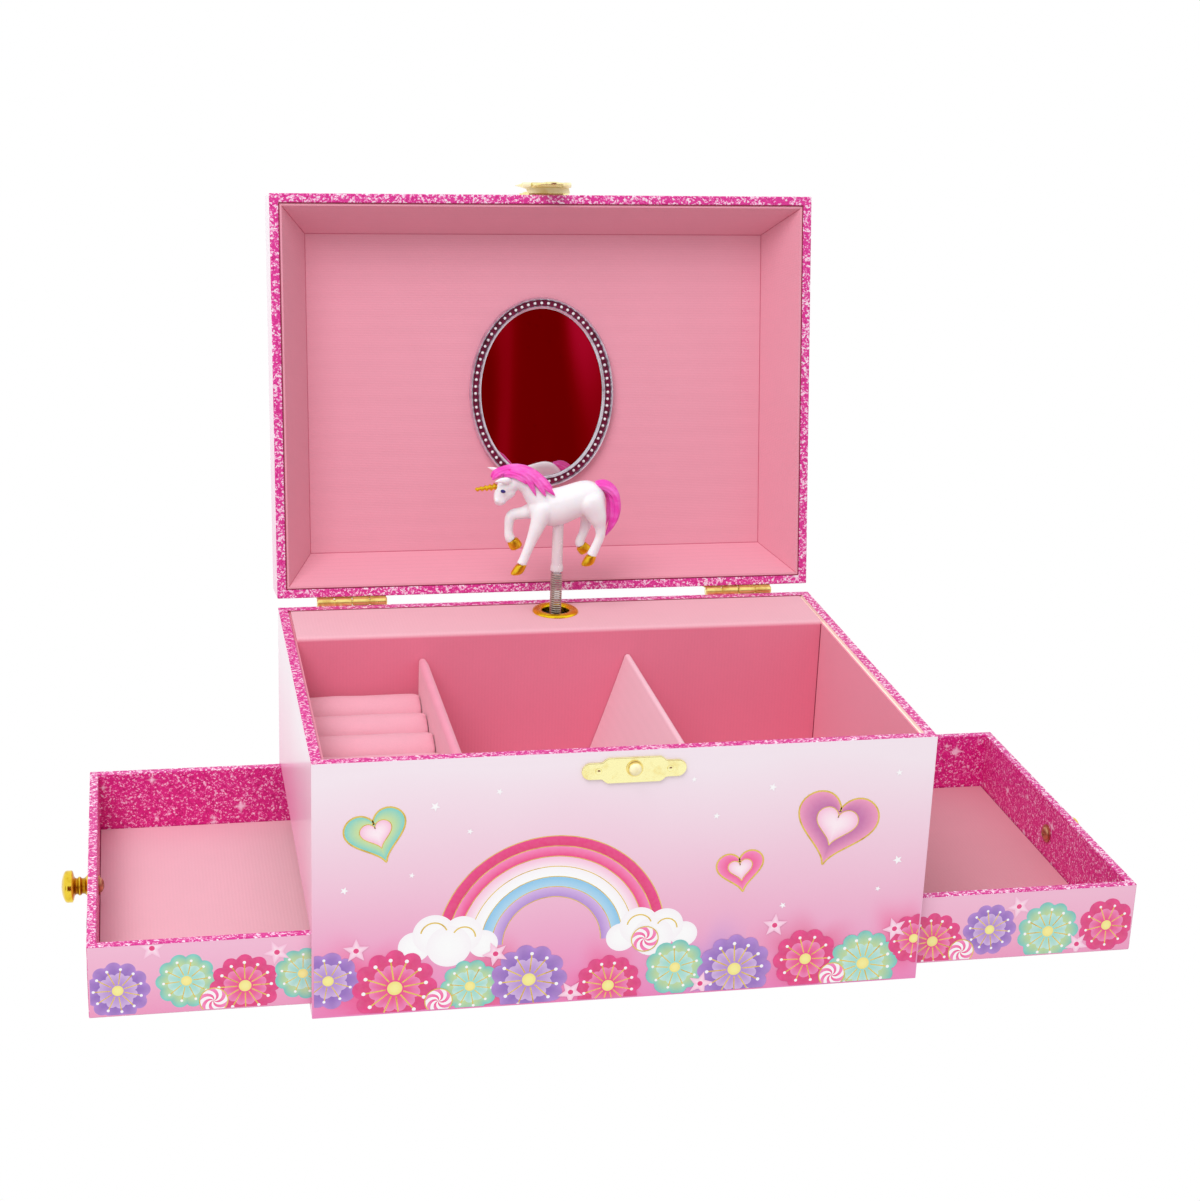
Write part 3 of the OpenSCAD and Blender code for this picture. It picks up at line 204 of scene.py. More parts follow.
class Graph:
    """The node tree of one material."""

    def __init__(self, name: str) -> None:
        """Starts an empty material of that name.

        Args:
            name: The material's name.
        """
        self.material = bpy.data.materials.new(name)
        self.material.use_nodes = True
        self.tree = self.material.node_tree
        self.tree.nodes.clear()
        self._coords: Signal | None = None

    def node(self, kind: str, settings: Mapping[str, Any] | None = None,
             inputs: Mapping[Union[str, int], Value] | None = None) -> bpy.types.Node:
        """Adds any node.

        Args:
            kind: The node's type.
            settings: Its properties, set before its sockets.
            inputs: Values or links of its sockets, by name or number.

        Returns:
            The node.
        """
        made = self.tree.nodes.new(kind)
        for key, value in (settings or {}).items():
            if key == "stops":
                ramp = made.color_ramp
                while len(ramp.elements) > 1:
                    ramp.elements.remove(ramp.elements[-1])
                for i, (place, colour) in enumerate(value):
                    stop = ramp.elements[0] if i == 0 else ramp.elements.new(place)
                    stop.position = place
                    stop.color = (*colour, 1.0)
            else:
                setattr(made, key, value)
        for key, value in (inputs or {}).items():
            socket = made.inputs[key]
            if isinstance(value, Signal):
                self.tree.links.new(value.socket, socket)
            elif hasattr(socket, "default_value"):
                if isinstance(value, (int, float)) or socket.type == "VALUE":
                    socket.default_value = value
                else:
                    wide = len(socket.default_value)
                    socket.default_value = (*value, 1.0)[:wide] if len(value) < wide else value
        return made

    def signal(self, kind: str, settings: Mapping[str, Any] | None = None,
               inputs: Mapping[Union[str, int], Value] | None = None, output: Union[str, int] = 0) -> Signal:
        """Adds any node and takes one of its outputs.

        Args:
            kind: The node's type.
            settings: Its properties, set before its sockets.
            inputs: Values or links of its sockets, by name or number.
            output: Name or number of the output.

        Returns:
            The output.
        """
        return Signal(self, self.node(kind, settings, inputs).outputs[output])

    def coords(self) -> Signal:
        """Object coordinates."""
        self._coords = self._coords or self.signal("ShaderNodeTexCoord", output="Object")
        return self._coords

    def axes(self) -> tuple[Signal, Signal, Signal]:
        """Splits the object coordinates into x, y and z."""
        made = self.node("ShaderNodeSeparateXYZ", None, {0: self.coords()})
        return tuple(Signal(self, out) for out in made.outputs)

    def placed(self, rotation: Point = (0, 0, 0), scale: Point = (1, 1, 1)) -> Signal:
        """Object coordinates turned and scaled for a pattern."""
        return self.signal("ShaderNodeMapping", None,
                           {"Vector": self.coords(), "Rotation": rotation, "Scale": scale})

    def noise(self, scale: float, detail: float = 3.0, rough: float = 0.55, vector: Signal | None = None) -> Signal:
        """Fractal noise, 0 to 1."""
        return self.signal("ShaderNodeTexNoise", None, {
            "Vector": vector or self.coords(), "Scale": scale, "Detail": detail, "Roughness": rough}, "Fac")

    def cells(self, scale: float, starry: bool = False) -> tuple[Signal, Signal]:
        """Voronoi cells.

        Args:
            scale: Cells per metre.
            starry: Whether lines of equal distance are four-pointed stars.

        Returns:
            One random value per cell and the distance to its middle.
        """
        settings = {"distance": "MINKOWSKI"} if starry else None
        exponent = {"Exponent": 0.5} if starry else {}
        made = self.node("ShaderNodeTexVoronoi", settings, {"Vector": self.coords(), "Scale": scale, **exponent})
        chosen = self.signal("ShaderNodeSeparateColor", None, {0: Signal(self, made.outputs["Color"])})
        return chosen, Signal(self, made.outputs["Distance"])

    def ramp(self, factor: Signal, stops: Sequence[tuple[float, Colour]]) -> Signal:
        """Colour ramp over a factor."""
        return self.signal("ShaderNodeValToRGB", {"stops": stops}, {0: factor})

    def mix(self, factor: Value, first: Value, second: Value, blend: str = "MIX") -> Signal:
        """Mixes two colours."""
        return self.signal("ShaderNodeMix", {"data_type": "RGBA", "blend_type": blend},
                           {0: factor, 6: first, 7: second}, 2)

    def bump(self, height: Signal, strength: float, distance: float) -> Signal:
        """Normal that is bent by a height."""
        return self.signal("ShaderNodeBump", None, {"Height": height, "Strength": strength, "Distance": distance})

    def surface(self, **sockets: Value) -> bpy.types.Material:
        """Ends the material with a Principled surface.

        Args:
            sockets: Values or links, by a socket's name with _ for a space.

        Returns:
            The material.
        """
        shader = self.signal("ShaderNodeBsdfPrincipled", None,
                             {key.replace("_", " "): value for key, value in sockets.items()})
        self.node("ShaderNodeOutputMaterial", None, {0: shader})
        return self.material


# ---------------------------------------------------------------- finishes
@dataclass(frozen=True)
class GlitterPaper:
    """Paper covered in fine flakes that catch the light, the brightest ones also with painted glints in their colour.
    """

    name: str
    deep: Colour
    body: Colour
    pale: Colour
    flake: float
    share: float
    glint_star_scale: float = 0.0

    def build(self) -> bpy.types.Material:
        """Makes the material.

        Returns:
            The material.
        """
        g = Graph(self.name)
        pick, _ = g.cells(self.flake)
        fine, _ = g.cells(self.flake * 1.8)
        streak = g.noise(520, 2.0, 0.5, g.placed(rotation=(0.4, 0.7, 0.5), scale=(1.0, 2.6, 1.4)))
        level = (pick * 0.6 + fine * 0.4 + (streak - 0.5) * 0.7).held()
        # The ramp runs from deep to pale and near-white flakes: the pale ones partly the flakes' own colour, the
        # near-white ones painted glints.
        start = 0.86 - self.share
        colour = g.ramp(level, [(0.0, self.deep), (start * 0.5, self.body), (start, self.body),
                                (start + 0.1, self.pale), (start + 0.3, srgb(255, 240, 250))])
        # Near-white four-pointed stars mixed into the colour: painted glints.
        if self.glint_star_scale:
            chosen, distance = g.cells(self.glint_star_scale, starry=True)
            star = (chosen > 0.35) * distance.spread(0.8, 0.2)
            colour = g.mix(star * 0.85, colour, srgb(255, 226, 244))
        rough = 0.62 - level * 0.34
        return g.surface(Base_Color=colour, Roughness=rough, Metallic=level.spread(0.5, 1.2) * 0.5,
                         Normal=g.bump(pick + fine * 0.5, 0.5, 0.00012))


@dataclass(frozen=True)
class RibbedPaper:
    """Matt lining paper with a very fine woven rib, cream at its cut edge."""

    name: str
    colour: Colour
    along: Point = (0.0, 0.0, 1.0)
    edge_from: float | None = None
    edge_beyond: float = 0.0963
    # Colour below the fold: painted shade.
    painted_shade_below: Colour | None = None
    fold: tuple[float, float] = (0.0848, 0.0864)
    rib: float = 0.00062
    cross: float = 0.00118

    def build(self) -> bpy.types.Material:
        """Makes the material.

        Returns:
            The material.
        """
        g = Graph(self.name)
        x, y, z = g.axes()
        mottled = g.noise(60, 4.0)
        grain = g.noise(2600, 2.0, 0.6)
        a, b, c = self.along
        rib = ((x * a + y * b + z * c) * (2 * math.pi / self.rib)).sine()
        cross = ((x * b + y * c + z * a) * (2 * math.pi / self.cross)).sine()
        colour = self.colour
        # Below the fold the colour turns darker: painted shade on the deck's upright front, which is the same paper as
        # its top.
        if self.painted_shade_below is not None:
            colour = g.mix(z.spread(*self.fold), self.painted_shade_below, self.colour)
        deep = g.mix(1.0, colour, (0.86, 0.86, 0.86), "MULTIPLY")
        colour = g.mix((mottled * 0.35 + grain * 0.5 + rib * 0.08 + cross * 0.05).held(), deep, colour)
        if self.edge_from is not None:
            colour = g.mix((z > self.edge_from) * (x > self.edge_beyond), colour, srgb(253, 238, 224))
        return g.surface(Base_Color=colour, Roughness=0.72 + grain * 0.16, Sheen_Weight=0.12,
                         Sheen_Roughness=0.5,
                         Normal=g.bump(rib * 0.5 + cross * 0.3 + grain, 0.35, 0.00006))


@dataclass(frozen=True)
class PrintedLaminate:
    """Gloss laminate with a soft gradient from its top to its foot."""

    name: str
    top: Colour
    middle: Colour
    foot: Colour
    low: float = 0.0
    high: float = 0.087

    def tone(self, g: Graph) -> Signal:
        """The gradient's colour in any graph.

        Args:
            g: The graph.

        Returns:
            The colour.
        """
        _, _, z = g.axes()
        cloud = g.noise(16, 2.0, 0.4)
        level = (z - self.low) / (self.high - self.low) + (cloud - 0.5) * 0.22
        deep = tuple(a + (a - b) * 0.35 for a, b in zip(self.foot, self.middle))
        return g.ramp(level.held(), [(0.0, deep), (0.1, self.foot), (0.4, self.middle), (0.94, self.top)])

    def build(self) -> bpy.types.Material:
        """Makes the material.

        Returns:
            The material.
        """
        g = Graph(self.name)
        colour = self.tone(g)
        tooth = g.noise(900, 3.0)
        return g.surface(Base_Color=colour, Roughness=0.3 + tooth * 0.1, Coat_Weight=0.35,
                         Coat_Roughness=0.12, Normal=g.bump(tooth, 0.06, 0.00008))


@dataclass(frozen=True)
class PrintInk:
    """Printed motifs under the laminate, coloured by the piece's own ink, fading into the sheet they are on."""

    name: str
    sheet: PrintedLaminate

    def build(self) -> bpy.types.Material:
        """Makes the material.

        Returns:
            The material.
        """
        g = Graph(self.name)
        ink = g.node("ShaderNodeVertexColor", {"layer_name": "ink"})
        speck = g.noise(700, 2.0)
        printed = g.mix((speck * 0.08).held(), Signal(g, ink.outputs["Color"]), (1.0, 1.0, 1.0))
        colour = g.mix(Signal(g, ink.outputs["Alpha"]), self.sheet.tone(g), printed)
        return g.surface(Base_Color=colour, Roughness=0.3 + speck * 0.08, Coat_Weight=0.35,
                         Coat_Roughness=0.12, Normal=g.bump(speck, 0.04, 0.00008))


@dataclass(frozen=True)
class PolishedMetal:
    """Plated or polished metal with faint smears and rubbed spots."""

    name: str
    colour: Colour
    dull: Colour
    rough: float = 0.14
    wear: float = 0.12
    metallic: float = 1.0

    def build(self) -> bpy.types.Material:
        """Makes the material.

        Returns:
            The material.
        """
        g = Graph(self.name)
        smear = g.noise(240, 4.0, 0.6)
        pit = g.noise(1800, 2.0)
        colour = g.mix(smear.spread(0.45, 0.75), self.colour, self.dull)
        return g.surface(Base_Color=colour, Metallic=self.metallic, Roughness=smear * self.wear + self.rough,
                         Normal=g.bump(pit + smear, 0.05, 0.00006))


@dataclass(frozen=True)
class MouldedPlastic:
    """Glossy moulded plastic with soft depth."""

    name: str
    colour: Colour
    shade: Colour
    rough: float = 0.22
    glow: float = 0.0
    transmission: float = 0.0
    highlight_streaks: bool = False

    def build(self) -> bpy.types.Material:
        """Makes the material.

        Returns:
            The material.
        """
        g = Graph(self.name)
        flow = g.noise(150, 3.0, 0.5, g.placed(scale=(1, 1, 3)) if self.highlight_streaks else None)
        fine = g.noise(1500, 2.0)
        colour = g.mix(flow.spread(0.4, 0.75) * (0.75 if self.highlight_streaks else 0.4), self.colour, self.shade)
        return g.surface(Base_Color=colour, Roughness=self.rough + fine * 0.08, Coat_Weight=0.3,
                         Coat_Roughness=0.1, Subsurface_Weight=self.glow, Subsurface_Scale=0.002,
                         Transmission_Weight=self.transmission,
                         Normal=g.bump(flow + fine * 0.3, 0.05, 0.0002))


@dataclass(frozen=True)
class PaddedCloth:
    """Soft short-napped cloth over foam."""

    name: str
    colour: Colour

    def build(self) -> bpy.types.Material:
        """Makes the material.

        Returns:
            The material.
        """
        g = Graph(self.name)
        x, y, z = g.axes()
        nap = g.noise(1400, 4.0, 0.65)
        patch = g.noise(130, 3.0)
        weave = (x * 9000).sine() * ((y + z) * 9000).sine()
        deep = tuple(c * 0.8 for c in self.colour)
        colour = g.mix((nap * 0.5 + patch * 0.4 + weave * 0.06).held(), deep, self.colour)
        return g.surface(Base_Color=colour, Roughness=0.85, Sheen_Weight=0.35, Sheen_Roughness=0.45,
                         Normal=g.bump(nap + weave * 0.3, 0.4, 0.00012))


@dataclass(frozen=True)
class Fibreboard:
    """Bare grey-brown board with flecks of fibre."""

    name: str = "bare board"

    def build(self) -> bpy.types.Material:
        """Makes the material.

        Returns:
            The material.
        """
        g = Graph(self.name)
        fibre = g.noise(500, 5.0, 0.7, g.placed(scale=(1, 4, 2)))
        colour = g.ramp(fibre, [(0.25, srgb(140, 112, 88)), (0.55, srgb(178, 150, 122)), (0.8, srgb(205, 182, 155))])
        return g.surface(Base_Color=colour, Roughness=0.9, Normal=g.bump(fibre, 0.4, 0.0002))


@dataclass(frozen=True)
class SilveredGlass:
    """Mirror glass with the faintest haze."""

    name: str = "silvered glass"

    def build(self) -> bpy.types.Material:
        """Makes the material.

        Returns:
            The material.
        """
        g = Graph(self.name)
        haze = g.noise(90, 3.0)
        tone = g.mix(haze, (0.86, 0.86, 0.87), (0.92, 0.92, 0.93))
        return g.surface(Base_Color=tone, Metallic=1.0, Roughness=0.015 + haze * 0.02)


@dataclass(frozen=True)
class Drape:
    """Dark red velvet that glows by its own colour, with two pale folds painted on as light, that only the mirror and
    the brass see.
    """

    name: str = "glowing velvet drape with painted folds"
    folds: tuple[float, float] = (0.242, 0.338)
    middle: float = 0.46

    def build(self) -> bpy.types.Material:
        """Makes the material.

        Returns:
            The material.
        """
        g = Graph(self.name)
        x, _, z = g.axes()
        soft = g.noise(9.0, 3.0, 0.5, g.placed(scale=(3.0, 1.0, 0.5)))
        sway = (z * 9.0).sine() * 0.008 + (soft - 0.5) * 0.02
        left = (x + sway - self.folds[0]).size().spread(0.022, 0.002)
        right = (x - sway - self.folds[1]).size().spread(0.024, 0.002)
        middle = (z - self.middle).size().spread(0.16, 0.02)
        # The pale folds are painted highlights on the cloth, which glows by emission instead of being lit.
        fold = left * 0.5 + right * (middle * 0.55 + 0.4) + (soft - 0.5) * 0.5
        colour = g.ramp(fold.held(), [(0.0, srgb(108, 0, 0)), (0.3, srgb(122, 0, 3)), (0.6, srgb(148, 2, 20)),
                                      (1.0, srgb(178, 10, 44))])
        return g.surface(Base_Color=(0, 0, 0), Roughness=1.0, Specular_IOR_Level=0.0, Emission_Color=colour,
                         Emission_Strength=1.0)


CASE_SHEET = PrintedLaminate("case laminate", srgb(245, 230, 239), srgb(241, 182, 210), srgb(238, 146, 194))
LID_SHEET = PrintedLaminate("lid laminate", srgb(250, 238, 246), srgb(246, 214, 230), srgb(244, 190, 216), 0.09, 0.24)
DRAWER_SHEET = PrintedLaminate("drawer laminate", srgb(243, 186, 212), srgb(242, 172, 204), srgb(240, 158, 196),
                               0.003, 0.0277)


class Finish(Enum):
    """Every finish on the box, by its record slot and its maker."""

    CASE_LAMINATE = ("laminate", CASE_SHEET)
    LID_LAMINATE = ("laminate", LID_SHEET)
    DRAWER_LAMINATE = ("laminate", DRAWER_SHEET)
    CASE_INK = ("laminate", PrintInk("case print", CASE_SHEET))
    LID_INK = ("laminate", PrintInk("lid print", LID_SHEET))
    DRAWER_INK = ("laminate", PrintInk("drawer print", DRAWER_SHEET))
    FOIL = ("laminate", PolishedMetal("print foil", srgb(236, 206, 104), srgb(210, 168, 62), 0.34, 0.2, 0.8))
    GLITTER_RIM = ("glitter_paper", GlitterPaper("rim glitter", srgb(186, 16, 112), srgb(214, 46, 144),
                                                 srgb(242, 160, 208), 1350.0, 0.3))
    GLITTER_WALL = ("glitter_paper", GlitterPaper("drawer glitter", srgb(176, 6, 98), srgb(218, 20, 134),
                                                  srgb(240, 126, 196), 1500.0, 0.22, 125.0))
    LINING = ("lining_paper", RibbedPaper("compartment lining", srgb(241, 155, 178), edge_from=0.08545))
    FLOOR_LINING = ("lining_paper", RibbedPaper("floor lining", srgb(242, 185, 198), (0.0, 1.0, 0.0)))
    # A darker copy of the floor lining, for the same card: painted shadow of the case over the right drawer.
    PAINTED_SHADOW_LINING = ("lining_paper", RibbedPaper("floor lining with painted shadow", srgb(226, 152, 166), (0.0, 1.0, 0.0)))
    TENT_PAPER = ("lining_paper", RibbedPaper("tent paper", srgb(244, 195, 209), (0.0, 1.0, 0.0)))
    # Dark strips of this paper paint the shade in the lid lining's mitres and along its panel's border.
    CREASE = ("lining_paper", RibbedPaper("painted crease shade", srgb(206, 104, 128)))
    # Thin dark strips of this colour are painted shadow in the gaps along seams.
    SEAM = ("lining_paper", RibbedPaper("seam shadow", srgb(140, 30, 62)))
    LID_LINING = ("lining_paper", RibbedPaper("lid lining", srgb(234, 157, 176)))
    # The darker colour below the fold is painted shade on the deck's upright front.
    DECK_PAPER = ("lining_paper", RibbedPaper("deck paper", srgb(238, 181, 194), (0.0, 1.0, 0.0),
                                              painted_shade_below=srgb(234, 130, 157)))
    PAD = ("pad_fabric", PaddedCloth("padded cloth", srgb(243, 177, 194)))
    DIVIDER_PAD = ("pad_fabric", PaddedCloth("divider cloth", srgb(244, 156, 182)))
    BOARD = ("bare_board", Fibreboard())
    # Pale, barely metallic brass that looks bright whatever it faces: a painted highlight, used on the stud's ball and
    # the hasp's shoulder.
    HIGHLIGHT_BRASS = ("brass", PolishedMetal("brass with painted highlight", srgb(255, 246, 204), srgb(244, 224, 164), 0.42, 0.2, 0.35))
    BRASS = ("brass", PolishedMetal("polished brass", srgb(254, 247, 184), srgb(246, 228, 148)))
    HINGE = ("brass", PolishedMetal("lacquered brass", srgb(250, 228, 140), srgb(222, 180, 92), 0.2, 0.2, 0.9))
    KNOB_GOLD = ("brass", PolishedMetal("gilt knob", srgb(240, 208, 66), srgb(206, 160, 26), 0.12, 0.1))
    # Darker gilt used for painted shade in the knob's narrow neck.
    KNOB_PAINTED_SHADE = ("brass", PolishedMetal("gilt with painted recess shade", srgb(196, 142, 26), srgb(140, 88, 8), 0.16, 0.1))
    GOLD_RING = ("brass", PolishedMetal("gilt ring", srgb(246, 214, 34), srgb(222, 178, 14), 0.2))
    STEEL = ("steel", PolishedMetal("satin steel", srgb(190, 190, 194), srgb(160, 160, 166), 0.3, 0.2))
    SCREW = ("steel", PolishedMetal("bronzed screw", srgb(206, 150, 112), srgb(130, 74, 52), 0.25, 0.25))
    SPRING = ("spring_steel", PolishedMetal("drawn spring wire", srgb(206, 198, 190), srgb(158, 146, 136), 0.24, 0.2))
    SILVER = ("silver_metal", PolishedMetal("aged silver plate", srgb(226, 226, 234), srgb(176, 174, 184), 0.2, 0.2))
    CHANNEL = ("silver_metal", PolishedMetal("dark red channel", srgb(122, 8, 60), srgb(70, 4, 30), 0.35, 0.2, 0.3))
    BEAD = ("silver_metal", PolishedMetal("pearl beads", srgb(246, 244, 246), srgb(222, 216, 224), 0.16, 0.1, 0.45))
    MIRROR = ("mirror", SilveredGlass())
    WHITE = ("white_plastic", MouldedPlastic("white plastic", srgb(241, 241, 244), srgb(232, 230, 235), 0.3, 0.15))
    # The paler second pink, laid in long streaks, is partly the plastic's own tone and partly painted highlight on the
    # mane and tail.
    PINK = ("pink_plastic", MouldedPlastic("pink plastic", srgb(240, 66, 186), srgb(250, 124, 214), 0.3, 0.1,
                                           highlight_streaks=True))
    GILT = ("gilt_plastic", PolishedMetal("gold paint", srgb(238, 194, 44), srgb(212, 160, 16), 0.26, 0.2, 0.95))
    EYE = ("eye_paint", MouldedPlastic("eye paint", srgb(40, 40, 120), srgb(20, 18, 70), 0.12))
    TUBE = ("clear_plastic", MouldedPlastic("frosted tube", srgb(250, 248, 250), srgb(236, 230, 236), 0.22, 0.1, 0.35))
    DARK = ("dark_plastic", MouldedPlastic("dark plastic", srgb(52, 52, 55), srgb(40, 40, 43), 0.5))

    def material(self) -> bpy.types.Material:
        """The material, made once."""
        maker = self.value[1]
        return bpy.data.materials.get(maker.name) or maker.build()

    @property
    def slot(self) -> str:
        """The record's material slot."""
        return self.value[0]


# ---------------------------------------------------------------- mesh tools
class Forge:
    """Makes meshes and pieces in metres, in the box's own frame."""

    @staticmethod
    def mesh(name: str, verts: Iterable[Sequence[float]], faces: Iterable[Sequence[int]]) -> bpy.types.Mesh:
        """Makes a mesh with its normals outwards.

        Args:
            name: Name of what is made.
            verts: Its points.
            faces: Its faces, as numbers of points.

        Returns:
            The mesh.
        """
        made = bpy.data.meshes.new(name)
        made.from_pydata([tuple(v) for v in verts], [], [tuple(f) for f in faces])
        shape = bmesh.new()
        shape.from_mesh(made)
        bmesh.ops.remove_doubles(shape, verts=shape.verts, dist=WELD)
        bmesh.ops.recalc_face_normals(shape, faces=shape.faces)
        shape.to_mesh(made)
        shape.free()
        return made

    @staticmethod
    def box(name: str, low: Sequence[float], high: Sequence[float]) -> bpy.types.Mesh:
        """A plain block, as a start for carving and bevels.

        Args:
            name: Name of what is made.
            low: Its lowest corner.
            high: Its highest corner.

        Returns:
            The mesh.
        """
        corners = [(x, y, z) for x in (low[0], high[0]) for y in (low[1], high[1]) for z in (low[2], high[2])]
        sides = [(0, 1, 3, 2), (4, 6, 7, 5), (0, 4, 5, 1), (2, 3, 7, 6), (0, 2, 6, 4), (1, 5, 7, 3)]
        return Forge.mesh(name, corners, sides)

    @staticmethod
    def lathe(name: str, profile: Sequence[tuple[float, float]], matrix: Matrix, sides: int = 48) -> bpy.types.Mesh:
        """Turns a profile of (radius, height) round its own Z.

        Args:
            name: The mesh's name.
            profile: Closed loop or open line whose ends lie on the axis.
            matrix: Place of the axis.
            sides: Steps round.

        Returns:
            The mesh.
        """
        closed = profile[0][0] > 1e-9 or profile[-1][0] > 1e-9
        verts = [matrix @ Vector((*polar(r, a), h)) for r, h in profile for a in circle(sides)]
        faces = []
        rows = len(profile)
        for i in range(rows if closed else rows - 1):
            j = (i + 1) % rows
            for k in range(sides):
                n = (k + 1) % sides
                faces.append((i * sides + k, i * sides + n, j * sides + n, j * sides + k))
        return Forge.mesh(name, verts, faces)

    @staticmethod
    def loft(name: str, rings: Sequence[Sequence[Vector]], capped: bool = True) -> bpy.types.Mesh:
        """Skins rings of equal length, one after another.

        Args:
            name: Name of what is made.
            rings: The rings, in order.
            capped: Whether both ends are closed.

        Returns:
            The mesh.
        """
        n = len(rings[0])
        verts = [p for ring in rings for p in ring]
        faces = [(i * n + k, i * n + (k + 1) % n, (i + 1) * n + (k + 1) % n, (i + 1) * n + k)
                 for i in range(len(rings) - 1) for k in range(n)]
        if capped:
            faces += [tuple(reversed(range(n))), tuple(range((len(rings) - 1) * n, len(rings) * n))]
        return Forge.mesh(name, verts, faces)

    @staticmethod
    def prism(name: str, outline: Sequence[tuple[float, float]], low: float, high: float,
              matrix: Matrix) -> bpy.types.Mesh:
        """Pushes an outline along its own Z from low to high."""
        rings = [[matrix @ Vector((x, y, z)) for x, y in outline] for z in (low, high)]
        return Forge.loft(name, rings)

    @staticmethod
    def applied(obj: bpy.types.Object) -> bpy.types.Object:
        """Applies all modifiers to the object's own mesh.

        Args:
            obj: The object.

        Returns:
            The same object.
        """
        graph = bpy.context.evaluated_depsgraph_get()
        graph.update()
        made = bpy.data.meshes.new_from_object(obj.evaluated_get(graph))
        obj.modifiers.clear()
        obj.data = made
        return obj

    @staticmethod
    def show(name: str, mesh: bpy.types.Mesh) -> bpy.types.Object:
        """Links an object at the origin.

        Args:
            name: The object's name.
            mesh: Its mesh.

        Returns:
            The object.
        """
        obj = bpy.data.objects.new(name, mesh)
        bpy.context.scene.collection.objects.link(obj)
        return obj

    @staticmethod
    def bevelled(obj: bpy.types.Object, width: float, steps: int = 2, angle: float = 32.0) -> bpy.types.Object:
        """Rounds the object's edges and smooths its shading.

        Args:
            obj: The object.
            width: Width of the rounding.
            steps: Steps across it.
            angle: Degrees from which an edge is rounded.

        Returns:
            The same object.
        """
        if width > 0:
            edge = obj.modifiers.new("edge", "BEVEL")
            edge.width, edge.segments, edge.limit_method = width, steps, "ANGLE"
            edge.angle_limit = math.radians(angle)
            edge.harden_normals = True
            edge.use_clamp_overlap = True
            obj.data.shade_smooth()
            Forge.applied(obj)
        obj.data.shade_smooth()
        obj.data.set_sharp_from_angle(angle=SHARP_FROM)
        flat = obj.modifiers.new("flat", "WEIGHTED_NORMAL")
        flat.keep_sharp, flat.weight = True, 90
        return Forge.applied(obj)

    @staticmethod
    def carved(name: str, block: bpy.types.Mesh, cuts: Sequence[bpy.types.Mesh]) -> bpy.types.Object:
        """Cuts shapes out of a block.

        Args:
            name: Name of what is made.
            block: The block.
            cuts: Shapes to cut out of it.

        Returns:
            The carved object.
        """
        obj = Forge.show(name, block)
        tools = [Forge.show(f"{name}_cut_{i}", cut) for i, cut in enumerate(cuts)]
        for tool in tools:
            step = obj.modifiers.new("cut", "BOOLEAN")
            step.operation, step.object, step.solver = "DIFFERENCE", tool, "EXACT"
        Forge.applied(obj)
        for tool in tools:
            bpy.data.objects.remove(tool)
        return obj

    @staticmethod
    def merged(name: str, node: str) -> bpy.types.Object:
        """A merged copy of a solid, with its flat faces made whole.

        Args:
            name: The object's name.
            node: Name of the solid.

        Returns:
            The object.
        """
        mesh = frame["nodes"][node].data.copy()
        mesh.materials.clear()
        shape = bmesh.new()
        shape.from_mesh(mesh)
        bmesh.ops.remove_doubles(shape, verts=shape.verts, dist=SOLID_WELD)
        bmesh.ops.dissolve_limit(shape, angle_limit=FLAT_WITHIN, verts=shape.verts, edges=shape.edges)
        shape.to_mesh(mesh)
        shape.free()
        return Forge.show(name, mesh)

    @staticmethod
    def wires(name: str, lines: Sequence[tuple[Point, Point]], radius: float, place: Matrix) -> bpy.types.Object:
        """Thin straight strips, in millimetres, that paint the shade in creases and seams.

        Args:
            name: Name of what is made.
            lines: Start and end of each strip.
            radius: Radius of a strip.
            place: Frame that the strips are placed in.

        Returns:
            The object.
        """
        parts = []
        for start, end in lines:
            a, b = Vector(start), Vector(end)
            turn = (b - a).to_track_quat("Z", "Y").to_matrix()
            ring = [turn @ Vector((*polar(radius, k), 0)) for k in circle(6)]
            parts.append(Forge.loft("strip", [[place @ ((at + p) * MM) for p in ring] for at in (a, b)]))
        return Forge.show(name, Forge.joined(name, parts))

    @staticmethod
    def joined(name: str, meshes: Sequence[bpy.types.Mesh]) -> bpy.types.Mesh:
        """Puts several meshes into one, with their materials' numbers kept.

        Args:
            name: Name of what is made.
            meshes: The meshes.

        Returns:
            The mesh.
        """
        shape = bmesh.new()
        for mesh in meshes:
            shape.from_mesh(mesh)
        made = bpy.data.meshes.new(name)
        shape.to_mesh(made)
        shape.free()
        return made

    @staticmethod
    def settle(obj: bpy.types.Object, body: str, finishes: Sequence[Finish], replaces: Sequence[str] = (), *,
               edge: float | None = None, steps: int = 2, angle: float = 32.0, smooth: bool = False,
               rule: Callable[[Vector, Vector], int] | None = None, place: Matrix | None = None,
               bends: tuple[Vector, Vector] | None = None) -> None:
        """Shades a piece and gives it its finishes, its body and the nodes it stands for.

        Args:
            obj: The piece.
            body: Name of the body it moves with.
            finishes: One for each material number of its faces.
            replaces: Nodes that it stands for.
            edge: Width of its rounded edges, 0 for shading alone, or none to leave them.
            steps: Steps across a rounded edge.
            angle: Degrees from which an edge is rounded.
            smooth: Whether all of it is shaded smooth.
            rule: Gives a face's material number by its middle and its normal.
            place: Where the shape is moved to at the end.
            bends: Where it starts to leave the case, and where it has left it; only whether it is given is used: the
                piece is then not attached to its body but has its place baked in.
        """
        if edge is not None:
            Forge.bevelled(obj, edge, steps, angle)
        if smooth:
            obj.data.shade_smooth()
        for face in obj.data.polygons if rule else ():
            face.material_index = rule(face.center, face.normal)
        if place is not None:
            obj.data.transform(place)
        slots = obj.data.materials
        for i, finish in enumerate(finishes):
            if i < len(slots):
                slots[i] = finish.material()
            else:
                slots.append(finish.material())
        finishes[0].slot
        if bends is None:
            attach(obj, body)
        else:
            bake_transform(obj)
        if replaces:
            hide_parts(*replaces)
